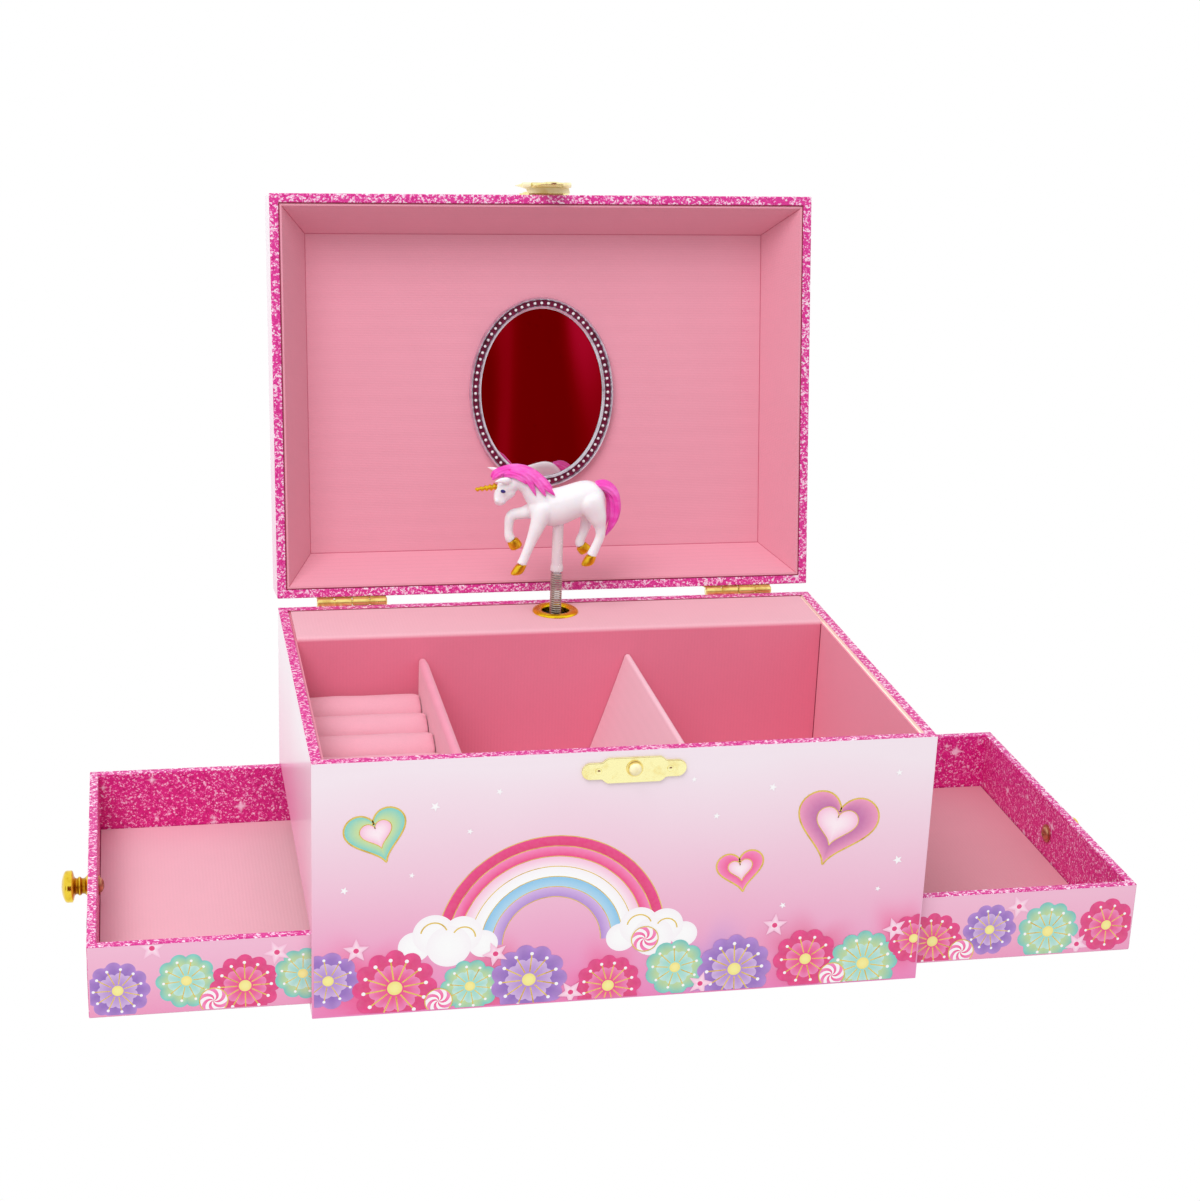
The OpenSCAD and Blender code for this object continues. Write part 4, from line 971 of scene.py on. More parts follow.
        LOG.info("%s rides on %s, %d faces", obj.name, body, len(obj.data.polygons))

    @staticmethod
    def dress(finish: Finish, *nodes: str) -> None:
        """Gives solids that are shown as they are their finish.

        Args:
            finish: The finish.
            nodes: Names of the solids.
        """
        for node in nodes:
            slots = frame["nodes"][node].data.materials
            slots.clear()
            slots.append(finish.material())


def curve_through(points: Sequence[Sequence[float]], steps: int) -> list[list[float]]:
    """Smooth line through points of any width, with each span in equal steps.

    Args:
        points: The points.
        steps: Steps in each span.

    Returns:
        The points of the line.
    """
    out: list[list[float]] = []
    n = len(points)
    for i in range(n - 1):
        p0, p1, p2, p3 = points[max(i - 1, 0)], points[i], points[i + 1], points[min(i + 2, n - 1)]
        for s in range(steps):
            t = s / steps
            out.append([0.5 * (2 * b + (c - a) * t + (2 * a - 5 * b + 4 * c - d) * t * t
                               + (3 * b - a - 3 * c + d) * t ** 3) for a, b, c, d in zip(p0, p1, p2, p3)])
    out.append(list(points[-1]))
    return out


@dataclass
class Strand:
    """A tapering lock, limb or horn swept along a smooth line, in millimetres about the figure's axis."""

    path: Sequence[Sequence[float]]
    flat: float = 1.0
    ridges: int = 0
    depth: float = 0.0
    twist: float = 0.0
    sides: int = 20
    steps: int = 8

    def rings(self, place: Matrix) -> list[list[Vector]]:
        """Rings of points along the strand, in the box's frame.

        Args:
            place: The figure's frame.

        Returns:
            One list of points for each step.
        """
        line = curve_through(self.path, self.steps)
        side = Vector((0, 1, 0))
        made = []
        for i, (x, y, z, r) in enumerate(line):
            ahead = Vector(line[min(i + 1, len(line) - 1)][:3]) - Vector(line[max(i - 1, 0)][:3])
            across = side.cross(ahead).normalized()
            deep = ahead.cross(across).normalized()
            ring = []
            for a in circle(self.sides):
                grow = 1 - self.depth * (0.5 + 0.5 * math.cos(self.ridges * a + self.twist * i / len(line)))
                ring.append(place @ (Vector((x, y, z)) + across * (math.cos(a) * r * grow)
                                     + deep * (math.sin(a) * r * grow * self.flat)))
            made.append(ring)
        return made

    def mesh(self, name: str, place: Matrix) -> bpy.types.Mesh:
        """The closed strand."""
        return Forge.loft(name, self.rings(place))


# ---------------------------------------------------------------- geometry nodes
class Pattern:
    """A Geometry Nodes tree with named inputs, built here and turned into a plain mesh."""

    def __init__(self, name: str, inputs: Mapping[str, tuple[str, Any]]) -> None:
        """Starts a tree.

        Args:
            name: The tree's name.
            inputs: Socket type and value of each named input.
        """
        self.tree = bpy.data.node_groups.new(name, "GeometryNodeTree")
        self.values = {key: value for key, (_, value) in inputs.items()}
        self.tree.interface.new_socket(name="Geometry", in_out="INPUT", socket_type="NodeSocketGeometry")
        for key, (kind, _) in inputs.items():
            self.tree.interface.new_socket(name=key, in_out="INPUT", socket_type=kind)
        self.tree.interface.new_socket(name="Geometry", in_out="OUTPUT", socket_type="NodeSocketGeometry")
        self.start = self.tree.nodes.new("NodeGroupInput")
        self.end = self.tree.nodes.new("NodeGroupOutput")

    def given(self, name: str) -> bpy.types.NodeSocket:
        """The socket of a named input."""
        return self.start.outputs[name]

    def add(self, kind: str, settings: Mapping[str, Any] | None = None,
            inputs: Mapping[Union[str, int], Any] | None = None) -> bpy.types.Node:
        """Adds a node, with links where an input is a socket or a node.

        Args:
            kind: The node's type.
            settings: Its properties.
            inputs: Values, nodes or sockets of its inputs, by name or number.

        Returns:
            The node.
        """
        made = self.tree.nodes.new(kind)
        for key, value in (settings or {}).items():
            setattr(made, key, value)
        for key, value in (inputs or {}).items():
            if isinstance(value, bpy.types.Node):
                value = value.outputs[0]
            if isinstance(value, bpy.types.NodeSocket):
                self.tree.links.new(value, made.inputs[key])
            else:
                made.inputs[key].default_value = value
        return made

    def close(self, last: bpy.types.Node, finish: Finish) -> None:
        """Ends the tree with Realize Instances and Set Material.

        Args:
            last: The last node of the shape.
            finish: The finish.
        """
        real = self.add("GeometryNodeRealizeInstances", None, {0: last})
        smooth = self.add("GeometryNodeSetShadeSmooth", None, {0: real})
        dressed = self.add("GeometryNodeSetMaterial", None, {0: smooth, "Material": finish.material()})
        self.tree.links.new(dressed.outputs[0], self.end.inputs[0])

    def grown(self, name: str, seed: bpy.types.Mesh) -> bpy.types.Object:
        """Runs the tree on a seed mesh and keeps the result as a plain mesh.

        Args:
            name: The object's name.
            seed: The seed mesh.

        Returns:
            The object.
        """
        obj = Forge.show(name, seed)
        step = obj.modifiers.new("pattern", "NODES")
        step.node_group = self.tree
        for item in self.tree.interface.items_tree:
            if item.in_out == "INPUT" and item.name in self.values:
                step[item.identifier] = self.values[item.name]
        return Forge.applied(obj)


# ---------------------------------------------------------------- prints
class Ink(Enum):
    """Printed colours, from the middle of a motif to its edge."""

    MAGENTA = (srgb(224, 0, 104), srgb(236, 34, 132))
    ROSE = (srgb(238, 20, 124), srgb(250, 130, 190))
    VIOLET = (srgb(120, 70, 180), srgb(180, 128, 212))
    LILAC = (srgb(176, 130, 210), srgb(216, 180, 232))
    TEAL = (srgb(226, 228, 120), srgb(110, 206, 200))
    MINT = (srgb(150, 220, 206), srgb(196, 236, 226))
    SKY = (srgb(176, 216, 240), srgb(130, 196, 236))
    BLUSH = (srgb(255, 236, 244), srgb(250, 190, 220))
    WHITE = (srgb(255, 255, 255), srgb(252, 246, 250))
    LEMON = (srgb(250, 240, 150), srgb(244, 226, 120))
    ORCHID = (srgb(168, 60, 150), srgb(240, 150, 190))


@dataclass
class PrintSheet:
    """Flat printed motifs on one face, drawn in millimetres on the face's own axes."""

    name: str
    origin: Vector
    right: Vector
    up: Vector
    out: Vector
    limits: tuple[float, float, float, float]
    ink_finish: Finish = Finish.CASE_INK
    shape: bmesh.types.BMesh = field(default_factory=bmesh.new)
    layer: int = 1
    step: float = 0.002
    pleat: float = 0.13
    blotted: float = 0.8

    def __post_init__(self) -> None:
        """Makes the ink layer."""
        self.ink = self.shape.verts.layers.float_color.new("ink")

    def _vert(self, x: float, y: float, colour: Colour, cover: float = 1.0) -> bmesh.types.BMVert:
        """One printed point.

        Args:
            x: Place across.
            y: Place up.
            colour: Its colour.
            cover: How far it hides the sheet, 0 to 1.

        Returns:
            The point.
        """
        place = self.origin + (self.right * x + self.up * y + self.out * (self.layer * self.step)) * MM
        v = self.shape.verts.new(place)
        v[self.ink] = (*colour, cover)
        return v

    def fan(self, cx: float, cy: float, outline: Outline, ink: Ink, rings: int = 3, foil: bool = False,
            pleats: int = 0, fade: bool = False) -> None:
        """Fills an outline round its middle, shaded from the middle to the edge.

        Args:
            cx: Middle across.
            cy: Middle up.
            outline: Edge about the middle.
            ink: Colours of the middle and the edge.
            rings: Steps from the middle to the edge.
            foil: Whether it is gold foil.
            pleats: Number of folds shaded round it.
            fade: Whether it melts into the sheet at its edge.
        """
        inner, outer = ink.value
        rows = []
        for k in range(1, rings + 1):
            t = k / rings
            cover = 1.0 if not fade else self.blotted * (0.5 + 0.5 * math.cos(math.pi * t))
            colour = tuple(a + (b - a) * t * t for a, b in zip(inner, outer))
            row = []
            for i, (x, y) in enumerate(outline):
                fold = 0.5 + 0.5 * math.cos(2 * math.pi * pleats * i / len(outline))
                dim = 1.0 - (self.pleat * t * fold if pleats else 0)
                row.append(self._vert(cx + x * t, cy + y * t, tuple(c * dim for c in colour), cover))
            rows.append(row)
        middle = self._vert(cx, cy, inner, self.blotted if fade else 1.0)
        n = len(outline)
        for k in range(n):
            j = (k + 1) % n
            faces = [self.shape.faces.new((middle, rows[0][k], rows[0][j]))]
            faces += [self.shape.faces.new((a[k], b[k], b[j], a[j])) for a, b in zip(rows, rows[1:])]
            for face in faces:
                face.material_index = int(foil)

    def line(self, cx: float, cy: float, outline: Outline, width: float) -> None:
        """A foil line round an outline.

        Args:
            cx: Middle across.
            cy: Middle up.
            outline: The outline about the middle.
            width: Width of the line.
        """
        n = len(outline)
        edge = []
        for k in range(n):
            ax, ay = outline[k - 1]
            bx, by = outline[(k + 1) % n]
            nx, ny = by - ay, ax - bx
            size = math.hypot(nx, ny) or 1.0
            x, y = outline[k]
            edge.append((self._vert(cx + x, cy + y, (1, 1, 1)),
                         self._vert(cx + x + nx / size * width, cy + y + ny / size * width, (1, 1, 1))))
        for k in range(n):
            (a, b), (d, c) = edge[k], edge[(k + 1) % n]
            self.shape.faces.new((a, b, c, d)).material_index = 1

    def band(self, cx: float, cy: float, r0: float, r1: float, ink: Ink, foil: bool = False,
             span: tuple[float, float] = (0, 180)) -> None:
        """Part of a ring.

        Args:
            cx: Middle across.
            cy: Middle up.
            r0: Inner radius.
            r1: Outer radius.
            ink: Colours of its inner and its outer edge.
            foil: Whether it is gold foil.
            span: First and last angle in degrees.
        """
        inner, outer = ink.value
        steps = 48
        ends = []
        for i in range(steps + 1):
            a = math.radians(span[0] + (span[1] - span[0]) * i / steps)
            ends.append((self._vert(cx + r0 * math.cos(a), cy + r0 * math.sin(a), inner),
                         self._vert(cx + r1 * math.cos(a), cy + r1 * math.sin(a), outer)))
        for (a, b), (d, c) in zip(ends, ends[1:]):
            self.shape.faces.new((a, b, c, d)).material_index = int(foil)

    def rosette(self, cx: float, cy: float, r: float, petals: int, ink: Ink, heart: Ink = Ink.LEMON,
                turn: float = 0.0) -> None:
        """A folded-paper rosette: two scalloped rounds, a middle and gold spokes with dots.

        Args:
            cx: Middle across.
            cy: Middle up.
            r: Radius.
            petals: Number of folds.
            ink: Colours of the larger round.
            heart: Colours of the middle.
            turn: Turn in radians.
        """
        pale = {Ink.MAGENTA: Ink.ROSE, Ink.VIOLET: Ink.LILAC, Ink.TEAL: Ink.MINT}.get(ink, Ink.BLUSH)
        self.layer += 1
        self.fan(cx, cy, self.scallop(r, petals, 0.0, turn), ink, 4, pleats=petals)
        self.layer += 1
        self.fan(cx, cy, self.scallop(r * 0.62, petals, 1.57, turn), pale, 3, pleats=petals)
        self.layer += 1
        folds = [2 * math.pi * (k + 0.5) / petals + turn for k in range(petals)]
        for a in folds:
            self.spoke(cx, cy, a, r * 0.22, r * 0.7, r * 0.017)
        self.layer += 1
        self.fan(cx, cy, arc(0, 0, r * 0.18, 0, 345, 23), heart, 2)
        for a in folds:
            x, y = polar(r * 0.74, a)
            self.fan(cx + x, cy + y, arc(0, 0, r * 0.05, 0, 315, 7), Ink.WHITE, 1)

    @staticmethod
    def scallop(size: float, petals: int, phase: float, turn: float) -> Outline:
        """A round with a scalloped edge."""
        return [polar(size * (0.84 + 0.16 * abs(math.cos(petals * a / 2 + phase)) ** 0.6), a)
                for a in circle(96, turn)]

    def blot(self, cx: float, cy: float, r: float, ink: Ink, seed: float = 0.0) -> None:
        """A soft blot of colour that melts into the sheet.

        Args:
            cx: Middle across.
            cy: Middle up.
            r: Radius.
            ink: Colours of its middle and its edge.
            seed: Shifts the waves of its edge.
        """
        self.layer += 1
        edge = [polar(r * (1 + 0.16 * math.sin(3 * a + seed) + 0.09 * math.sin(7 * a + seed * 2.3)), a)
                for a in circle(72)]
        self.fan(cx, cy, edge, ink, 8, fade=True)

    def spoke(self, cx: float, cy: float, angle: float, r0: float, r1: float, half: float) -> None:
        """A thin foil ray.

        Args:
            cx: Middle across.
            cy: Middle up.
            angle: Direction in radians.
            r0: Inner radius.
            r1: Outer radius.
            half: Half its width.
        """
        c, s = math.cos(angle), math.sin(angle)
        pts = [(r0, -half), (r1, -half), (r1, half), (r0, half)]
        self.shape.faces.new([self._vert(cx + x * c - y * s, cy + x * s + y * c, (1, 1, 1))
                              for x, y in pts]).material_index = 1

    def swirl(self, cx: float, cy: float, r: float, first: Ink, second: Ink, arms: int = 6) -> None:
        """A round sweet with curling stripes.

        Args:
            cx: Middle across.
            cy: Middle up.
            r: Radius.
            first: Colours of every second stripe.
            second: Colours of the others.
            arms: Pairs of stripes.
        """
        self.layer += 1
        rings, part = 9, 4
        for k in range(arms * 2):
            colour = (first if k % 2 else second).value
            for i in range(rings):
                for j in range(part):
                    quad = []
                    for di, dj in ((0, 0), (1, 0), (1, 1), (0, 1)):
                        t = (i + di) / rings
                        a = 2 * math.pi * (k + (j + dj) / part) / (arms * 2) + 1.5 * t
                        tone = tuple(p + (q - p) * t for p, q in zip(*colour))
                        x, y = polar(r * t, a)
                        quad.append(self._vert(cx + x, cy + y, tone))
                    self.shape.faces.new(quad)
        self.layer += 1
        self.line(cx, cy, arc(0, 0, r, 0, 352.5, 47), 0.35)

    def heart(self, cx: float, cy: float, size: float, ink: Ink, turn: float = 0.0) -> None:
        """A heart with a foil edge and a small pale heart inside.

        Args:
            cx: Middle across.
            cy: Middle up.
            size: Its size.
            ink: Colours of its middle and its edge.
            turn: Turn in radians.
        """
        whole, small = self.heart_edge(size, turn), self.heart_edge(size * 0.52, turn)
        self.layer += 1
        self.fan(cx, cy, whole, ink, 6)
        self.layer += 1
        self.line(cx, cy, whole, 0.55)
        self.fan(cx, cy, small, Ink.BLUSH, 4)
        self.layer += 1
        self.line(cx, cy, small, 0.3)

    @staticmethod
    def heart_edge(size: float, turn: float) -> Outline:
        """Outline of a heart, from its own curve.

        Args:
            size: Its size.
            turn: Turn in radians.

        Returns:
            The outline.
        """
        points = []
        c, q = math.cos(turn), math.sin(turn)
        for t in circle(64):
            x = 16 * math.sin(t) ** 3
            y = 13 * math.cos(t) - 5 * math.cos(2 * t) - 2 * math.cos(3 * t) - math.cos(4 * t)
            points.append((size * (x * c - y * q) / 32, size * (x * q + y * c) / 32))
        return points[::-1]

    def star(self, cx: float, cy: float, r: float, ink: Ink = Ink.WHITE, turn: float = 0.0) -> None:
        """A five-pointed star."""
        pts = [polar(r if k % 2 == 0 else r * 0.44, math.pi * k / 5 + math.pi / 2 + turn) for k in range(10)]
        self.fan(cx, cy, pts, ink, 1)

    def stars(self, row: Sequence[tuple[float, float, float]]) -> None:
        """Several white stars, each turned its own way."""
        for x, y, r in row:
            self.star(x, y, r, turn=x * 0.13)

    def cloud(self, cx: float, cy: float, size: float) -> None:
        """A cloud of overlapping rounds, with a foil curl.

        Args:
            cx: Middle across.
            cy: Middle up.
            size: Half its width.
        """
        for dx, dy, r in ((-1.15, -0.1, 0.55), (1.15, -0.12, 0.5), (-0.5, 0.32, 0.72), (0.45, 0.28, 0.66),
                          (0.0, -0.15, 0.75)):
            self.layer += 1
            self.fan(cx + dx * size, cy + dy * size, arc(0, 0, r * size, 0, 352.5, 47), Ink.WHITE, 2)
        self.layer += 1
        self.band(cx - size * 0.5, cy + size * 0.3, size * 0.42, size * 0.47, Ink.WHITE, True, (20, 170))
        self.band(cx + size * 0.5, cy + size * 0.15, size * 0.36, size * 0.41, Ink.WHITE, True, (0, 150))

    def rainbow(self, cx: float, cy: float, r: float) -> None:
        """Six soft bands with foil lines between them.

        Args:
            cx: Middle across.
            cy: Middle up.
            r: Radius.
        """
        inks = (Ink.MAGENTA, Ink.ROSE, Ink.BLUSH, Ink.WHITE, Ink.SKY, Ink.LILAC)
        step = r * 0.095
        self.layer += 1
        for k, ink in enumerate(inks):
            self.band(cx, cy, r - step * (k + 1), r - step * k, ink)
        self.layer += 1
        for k in range(len(inks) + 1):
            self.band(cx, cy, r - step * k - 0.14, r - step * k + 0.14, Ink.WHITE, True)

    def piece(self, body: str) -> None:
        """Trims the motifs to the face and makes the piece.

        Args:
            body: Name of the body it moves with.
        """
        x0, x1, y0, y1 = self.limits
        for along, place, sign in ((self.right, x0, -1), (self.right, x1, 1), (self.up, y0, -1), (self.up, y1, 1)):
            bmesh.ops.bisect_plane(
                self.shape, geom=self.shape.verts[:] + self.shape.edges[:] + self.shape.faces[:],
                plane_co=self.origin + along * place * MM, plane_no=along * sign, clear_outer=True)
        for face in self.shape.faces:
            face.normal_update()
            if face.normal.dot(self.out) < 0:
                face.normal_flip()
        mesh = bpy.data.meshes.new(self.name)
        self.shape.to_mesh(mesh)
        self.shape.free()
        Forge.settle(Forge.show(self.name, mesh), body, (self.ink_finish, Finish.FOIL))


# ---------------------------------------------------------------- case
@dataclass
class Case:
    """Boards, linings, dividers, deck and prints of the box itself."""

    low: Vector = field(default_factory=lambda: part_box("front_board")[0])
    high: Vector = field(default_factory=lambda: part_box("back_board")[1])
    board: float = 3.3 * MM
    edge: float = 0.45 * MM
    rim: float = 0.5 * MM
    fold: float = 1.6 * MM
    card: float = 1.0 * MM
    ridge: float = 1.15 * MM
    bow: float = 0.25 * MM
    post_hole: float = 6 * MM
    ring_hole: float = 5 * MM
    key_hole: float = 3.5 * MM

    def __post_init__(self) -> None:
        """Finds the inner faces of the walls and of the base."""
        self.inner = (self.high.x - self.board, self.high.y - self.board)
        self.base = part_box("base_board")[1].z

    def build(self) -> None:
        """Makes and dresses every piece of the case."""
        self.walls()
        self.deck()
        self.dividers()
        self.prints()
        x, front, back, deck, rim = 96.6, -69.1, 69.1, 40.4, 85.66
        lines = [((95.6, 40.5, 32.2), (95.6, 40.5, 85.4)), ((-x, front, rim), (x, front, rim)),
                 ((-x, front, rim), (-x, deck, rim)), ((x, back, rim + 1), (-x, back, rim + 1))]
        # Dark strips painted as the shadow in the gaps at the right end of the deck's front and along the rim's inner
        # edge at the front, the left and the back.
        Forge.settle(Forge.wires("case_seam_shadows", lines, 0.17, Matrix()), "case", (Finish.SEAM,))
        Forge.dress(Finish.LINING, "compartment_lining")
        Forge.dress(Finish.FLOOR_LINING, "floor_card", "ring_platform")
        Forge.dress(Finish.BOARD, "floor_board", "drawer_partition")

    def walls(self) -> None:
        """The wrapped boards as one shell with rounded edges and a glitter rim."""
        x, y = self.inner
        bay_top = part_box("floor_board")[0].z
        far = 0.01
        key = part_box("winding_arbor")
        cuts = [
            Forge.box("room", (-x, -y, bay_top), (x, y, self.high.z + far)),
            Forge.box("bay", (-self.high.x - far, -y, self.base), (self.high.x + far, y, bay_top + far * 0.01)),
            Forge.lathe("keyhole", [(0, 0), (self.key_hole, 0), (self.key_hole, 0.02), (0, 0.02)],
                        axle((0, y - 0.005, (key[0].z + key[1].z) / 2), "X", -1), 32),
        ]
        obj = Forge.carved("case_walls", Forge.box("case_walls", self.low, self.high), cuts)
        Forge.settle(obj, "case", (Finish.CASE_LAMINATE, Finish.GLITTER_RIM, Finish.LINING),
                     ("front_board", "back_board", "left_board", "right_board", "base_board"),
                     edge=self.edge, steps=3, rule=self.wall_finish)

    def wall_finish(self, middle: Vector, _: Vector) -> int:
        """Glitter on the rim, lining inside and laminate outside.

        Args:
            middle: The face's middle.
            _: Its normal, which doesn't matter here.

        Returns:
            The material number.
        """
        if middle.z > self.high.z - self.rim:
            return 1
        x, y = self.inner
        inside = abs(middle.x) < x + NEAR and abs(middle.y) < y + NEAR and middle.z > self.base - NEAR
        return 2 if inside else 0

    def deck(self) -> None:
        """The music deck with its folded front edge, and the gilt ring in it."""
        low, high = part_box("music_deck")
        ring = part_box("deck_ring")
        post_y = (ring[0].y + ring[1].y) / 2
        t, r = self.card, self.fold
        outline = ([(high.y, high.z - t), (high.y, high.z)]
                   + arc(low.y + r, high.z - r, r, 90, 180, 14)
                   + [(low.y, low.z), (low.y + t, low.z)]
                   + arc(low.y + r, high.z - r, r - t, 180, 90, 8))
        obj = Forge.carved("deck_paper", Forge.prism("deck_paper", outline, low.x, high.x, ALONG_X), [
            Forge.lathe("post_hole", [(0, -0.01), (self.post_hole, -0.01), (self.post_hole, 0.01), (0, 0.01)],
                        Matrix.Translation((0, post_y, high.z)), 48)])
        Forge.settle(obj, "case", (Finish.DECK_PAPER,), ("music_deck",), edge=0.12 * MM, angle=50)
        outer, hole = (ring[1].x - ring[0].x) / 2, self.ring_hole
        mid, half = (outer + hole) / 2, (outer - hole) / 2
        profile = ([(hole, -1.6 * MM), (hole + 0.9 * MM, -1.6 * MM), (hole + 0.9 * MM, 0.02 * MM), (outer, 0.02 * MM)]
                   + [(mid + half * math.cos(math.radians(a)), 1.1 * MM * math.sin(math.radians(a)) ** 0.8)
                      for a in range(8, 176, 8)] + [(hole, 0.02 * MM)])
        gilt = Forge.show("gilt_ring", Forge.lathe("gilt_ring", profile, Matrix.Translation((0, post_y, high.z)), 96))
        Forge.settle(gilt, "case", (Finish.GOLD_RING,), ("deck_ring",), edge=0)

    def dividers(self) -> None:
        """The folded tent divider, with a soft ridge and slightly bowed faces."""
        low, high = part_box("tent_divider")
        mid = (low.x + high.x) / 2
        foot, rise = (high.x - low.x) / 2, high.z - low.z
        r, t = self.ridge, self.card
        slope = math.atan2(rise, foot)
        steps = 12
        right, left = ([(mid + sign * (foot * (1 - k) + r * math.sin(slope) * k - self.bow * math.sin(math.pi * k)),
                         low.z + (rise - r + r * math.cos(slope)) * k) for k in (i / steps for i in range(steps))]
                       for sign in (1, -1))
        ridge = arc(mid, high.z - r, r, math.degrees(math.pi / 2 - slope), math.degrees(math.pi / 2 + slope), 8)
        hem = t / math.sin(slope)
        outline = (right + ridge + left[::-1]
                   + [(mid - foot + hem, low.z), (mid, high.z - t / math.cos(slope)), (mid + foot - hem, low.z)])
        obj = Forge.show("tent_card", Forge.prism("tent_card", outline, low.y, high.y, ALONG_Y))
        Forge.settle(obj, "case", (Finish.TENT_PAPER,), ("tent_divider",), edge=0.1 * MM, angle=50)

    def prints(self) -> None:
        """Motifs on the front and the back."""
        width = self.high.x / MM
        x, y, z = Vector((1, 0, 0)), Vector((0, 1, 0)), Vector((0, 0, 1))
        front = PrintSheet("front_print", Vector((0, self.low.y, 0)), x, z, -y, (-width + 0.6, width - 0.6, 0.6, 86))
        for blot in ((-84, 10, 24, Ink.ROSE, 0.4), (-40, 8, 20, Ink.MAGENTA, 1.9), (-6, 5, 20, Ink.ROSE, 3.1),
                     (30, 8, 21, Ink.LILAC, 4.4), (62, 10, 21, Ink.MAGENTA, 0.9), (94, 14, 19, Ink.ROSE, 2.2)):
            front.blot(*blot)
        front.rainbow(-24, 22, 37)
        front.cloud(-57, 24, 9.5)
        front.cloud(9, 23, 9)
        front.heart(68, 58, 27, Ink.ORCHID, -0.25)
        front.heart(-80, 63, 19, Ink.TEAL, 0.3)
        front.heart(37, 44, 15, Ink.ROSE, 0.15)
        front.stars(((-62, 71, 1.7), (-51, 62, 1.1), (-90, 44, 1.4), (46, 72, 1.5), (88, 75, 1.3), (28, 63, 1.2),
                     (90, 44, 1.7), (52, 30, 1.2), (-42, 75, 1.2), (20, 76, 1.0), (-69, 48, 1.0), (84, 34, 1.0)))
        self.garden(front, ((-95, 13, 10, 9, Ink.VIOLET), (-74, 9, 13.5, 12, Ink.MAGENTA), (-50, 8, 9.5, 10, Ink.TEAL),
                            (-31, 9, 12.5, 11, Ink.VIOLET), (-5, 5, 11, 12, Ink.MAGENTA), (17, 10, 10, 9, Ink.TEAL),
                            (37, 8, 12.5, 12, Ink.VIOLET), (61, 10, 11, 10, Ink.MAGENTA), (81, 7, 12, 12, Ink.TEAL),
                            (98, 15, 9, 9, Ink.MAGENTA)))
        front.piece("case")
        back = PrintSheet("back_print", Vector((0, self.high.y, 0)), -x, z, y, (-width + 0.6, width - 0.6, 0.6, 84))
        self.garden(back, ((-92, 8, 11, 10, Ink.TEAL), (-68, 10, 12, 12, Ink.VIOLET), (-44, 7, 10, 9, Ink.MAGENTA),
                           (46, 9, 12, 12, Ink.MAGENTA), (70, 8, 10, 10, Ink.TEAL), (92, 12, 12, 11, Ink.VIOLET)))
        back.stars(((-80, 50, 1.6), (-55, 66, 1.2), (52, 60, 1.6), (84, 46, 1.2)))
        back.piece("case")

    @staticmethod
    def garden(sheet: PrintSheet, row: Sequence[tuple[float, float, float, int, Ink]]) -> None:
        """A band of rosettes with small sweets and stars between them.

        Args:
            sheet: The sheet to print on.
            row: Middle, radius, petals and ink of each rosette.
        """
        for k, (cx, cy, r, petals, ink) in enumerate(row):
            sheet.rosette(cx, cy, r, petals, ink, turn=k * 0.4)
        for k, ((ax, _, ar, *_), (bx, _, br, *_)) in enumerate(zip(row, row[1:])):
            mid_x, mid_y = (ax + ar + bx - br) / 2, (3.5 if k % 2 else 23 - (k % 3) * 2)
            sheet.layer += 1
            if k % 3 == 1:
                sheet.swirl(mid_x, mid_y, 4.2, Ink.WHITE, Ink.ROSE)
            else:
                sheet.star(mid_x, mid_y, 4.4, Ink.BLUSH, 0.2 * k)
                sheet.layer += 1
                sheet.fan(mid_x, mid_y, arc(0, 0, 0.9, 0, 330, 11), Ink.MAGENTA, 1)


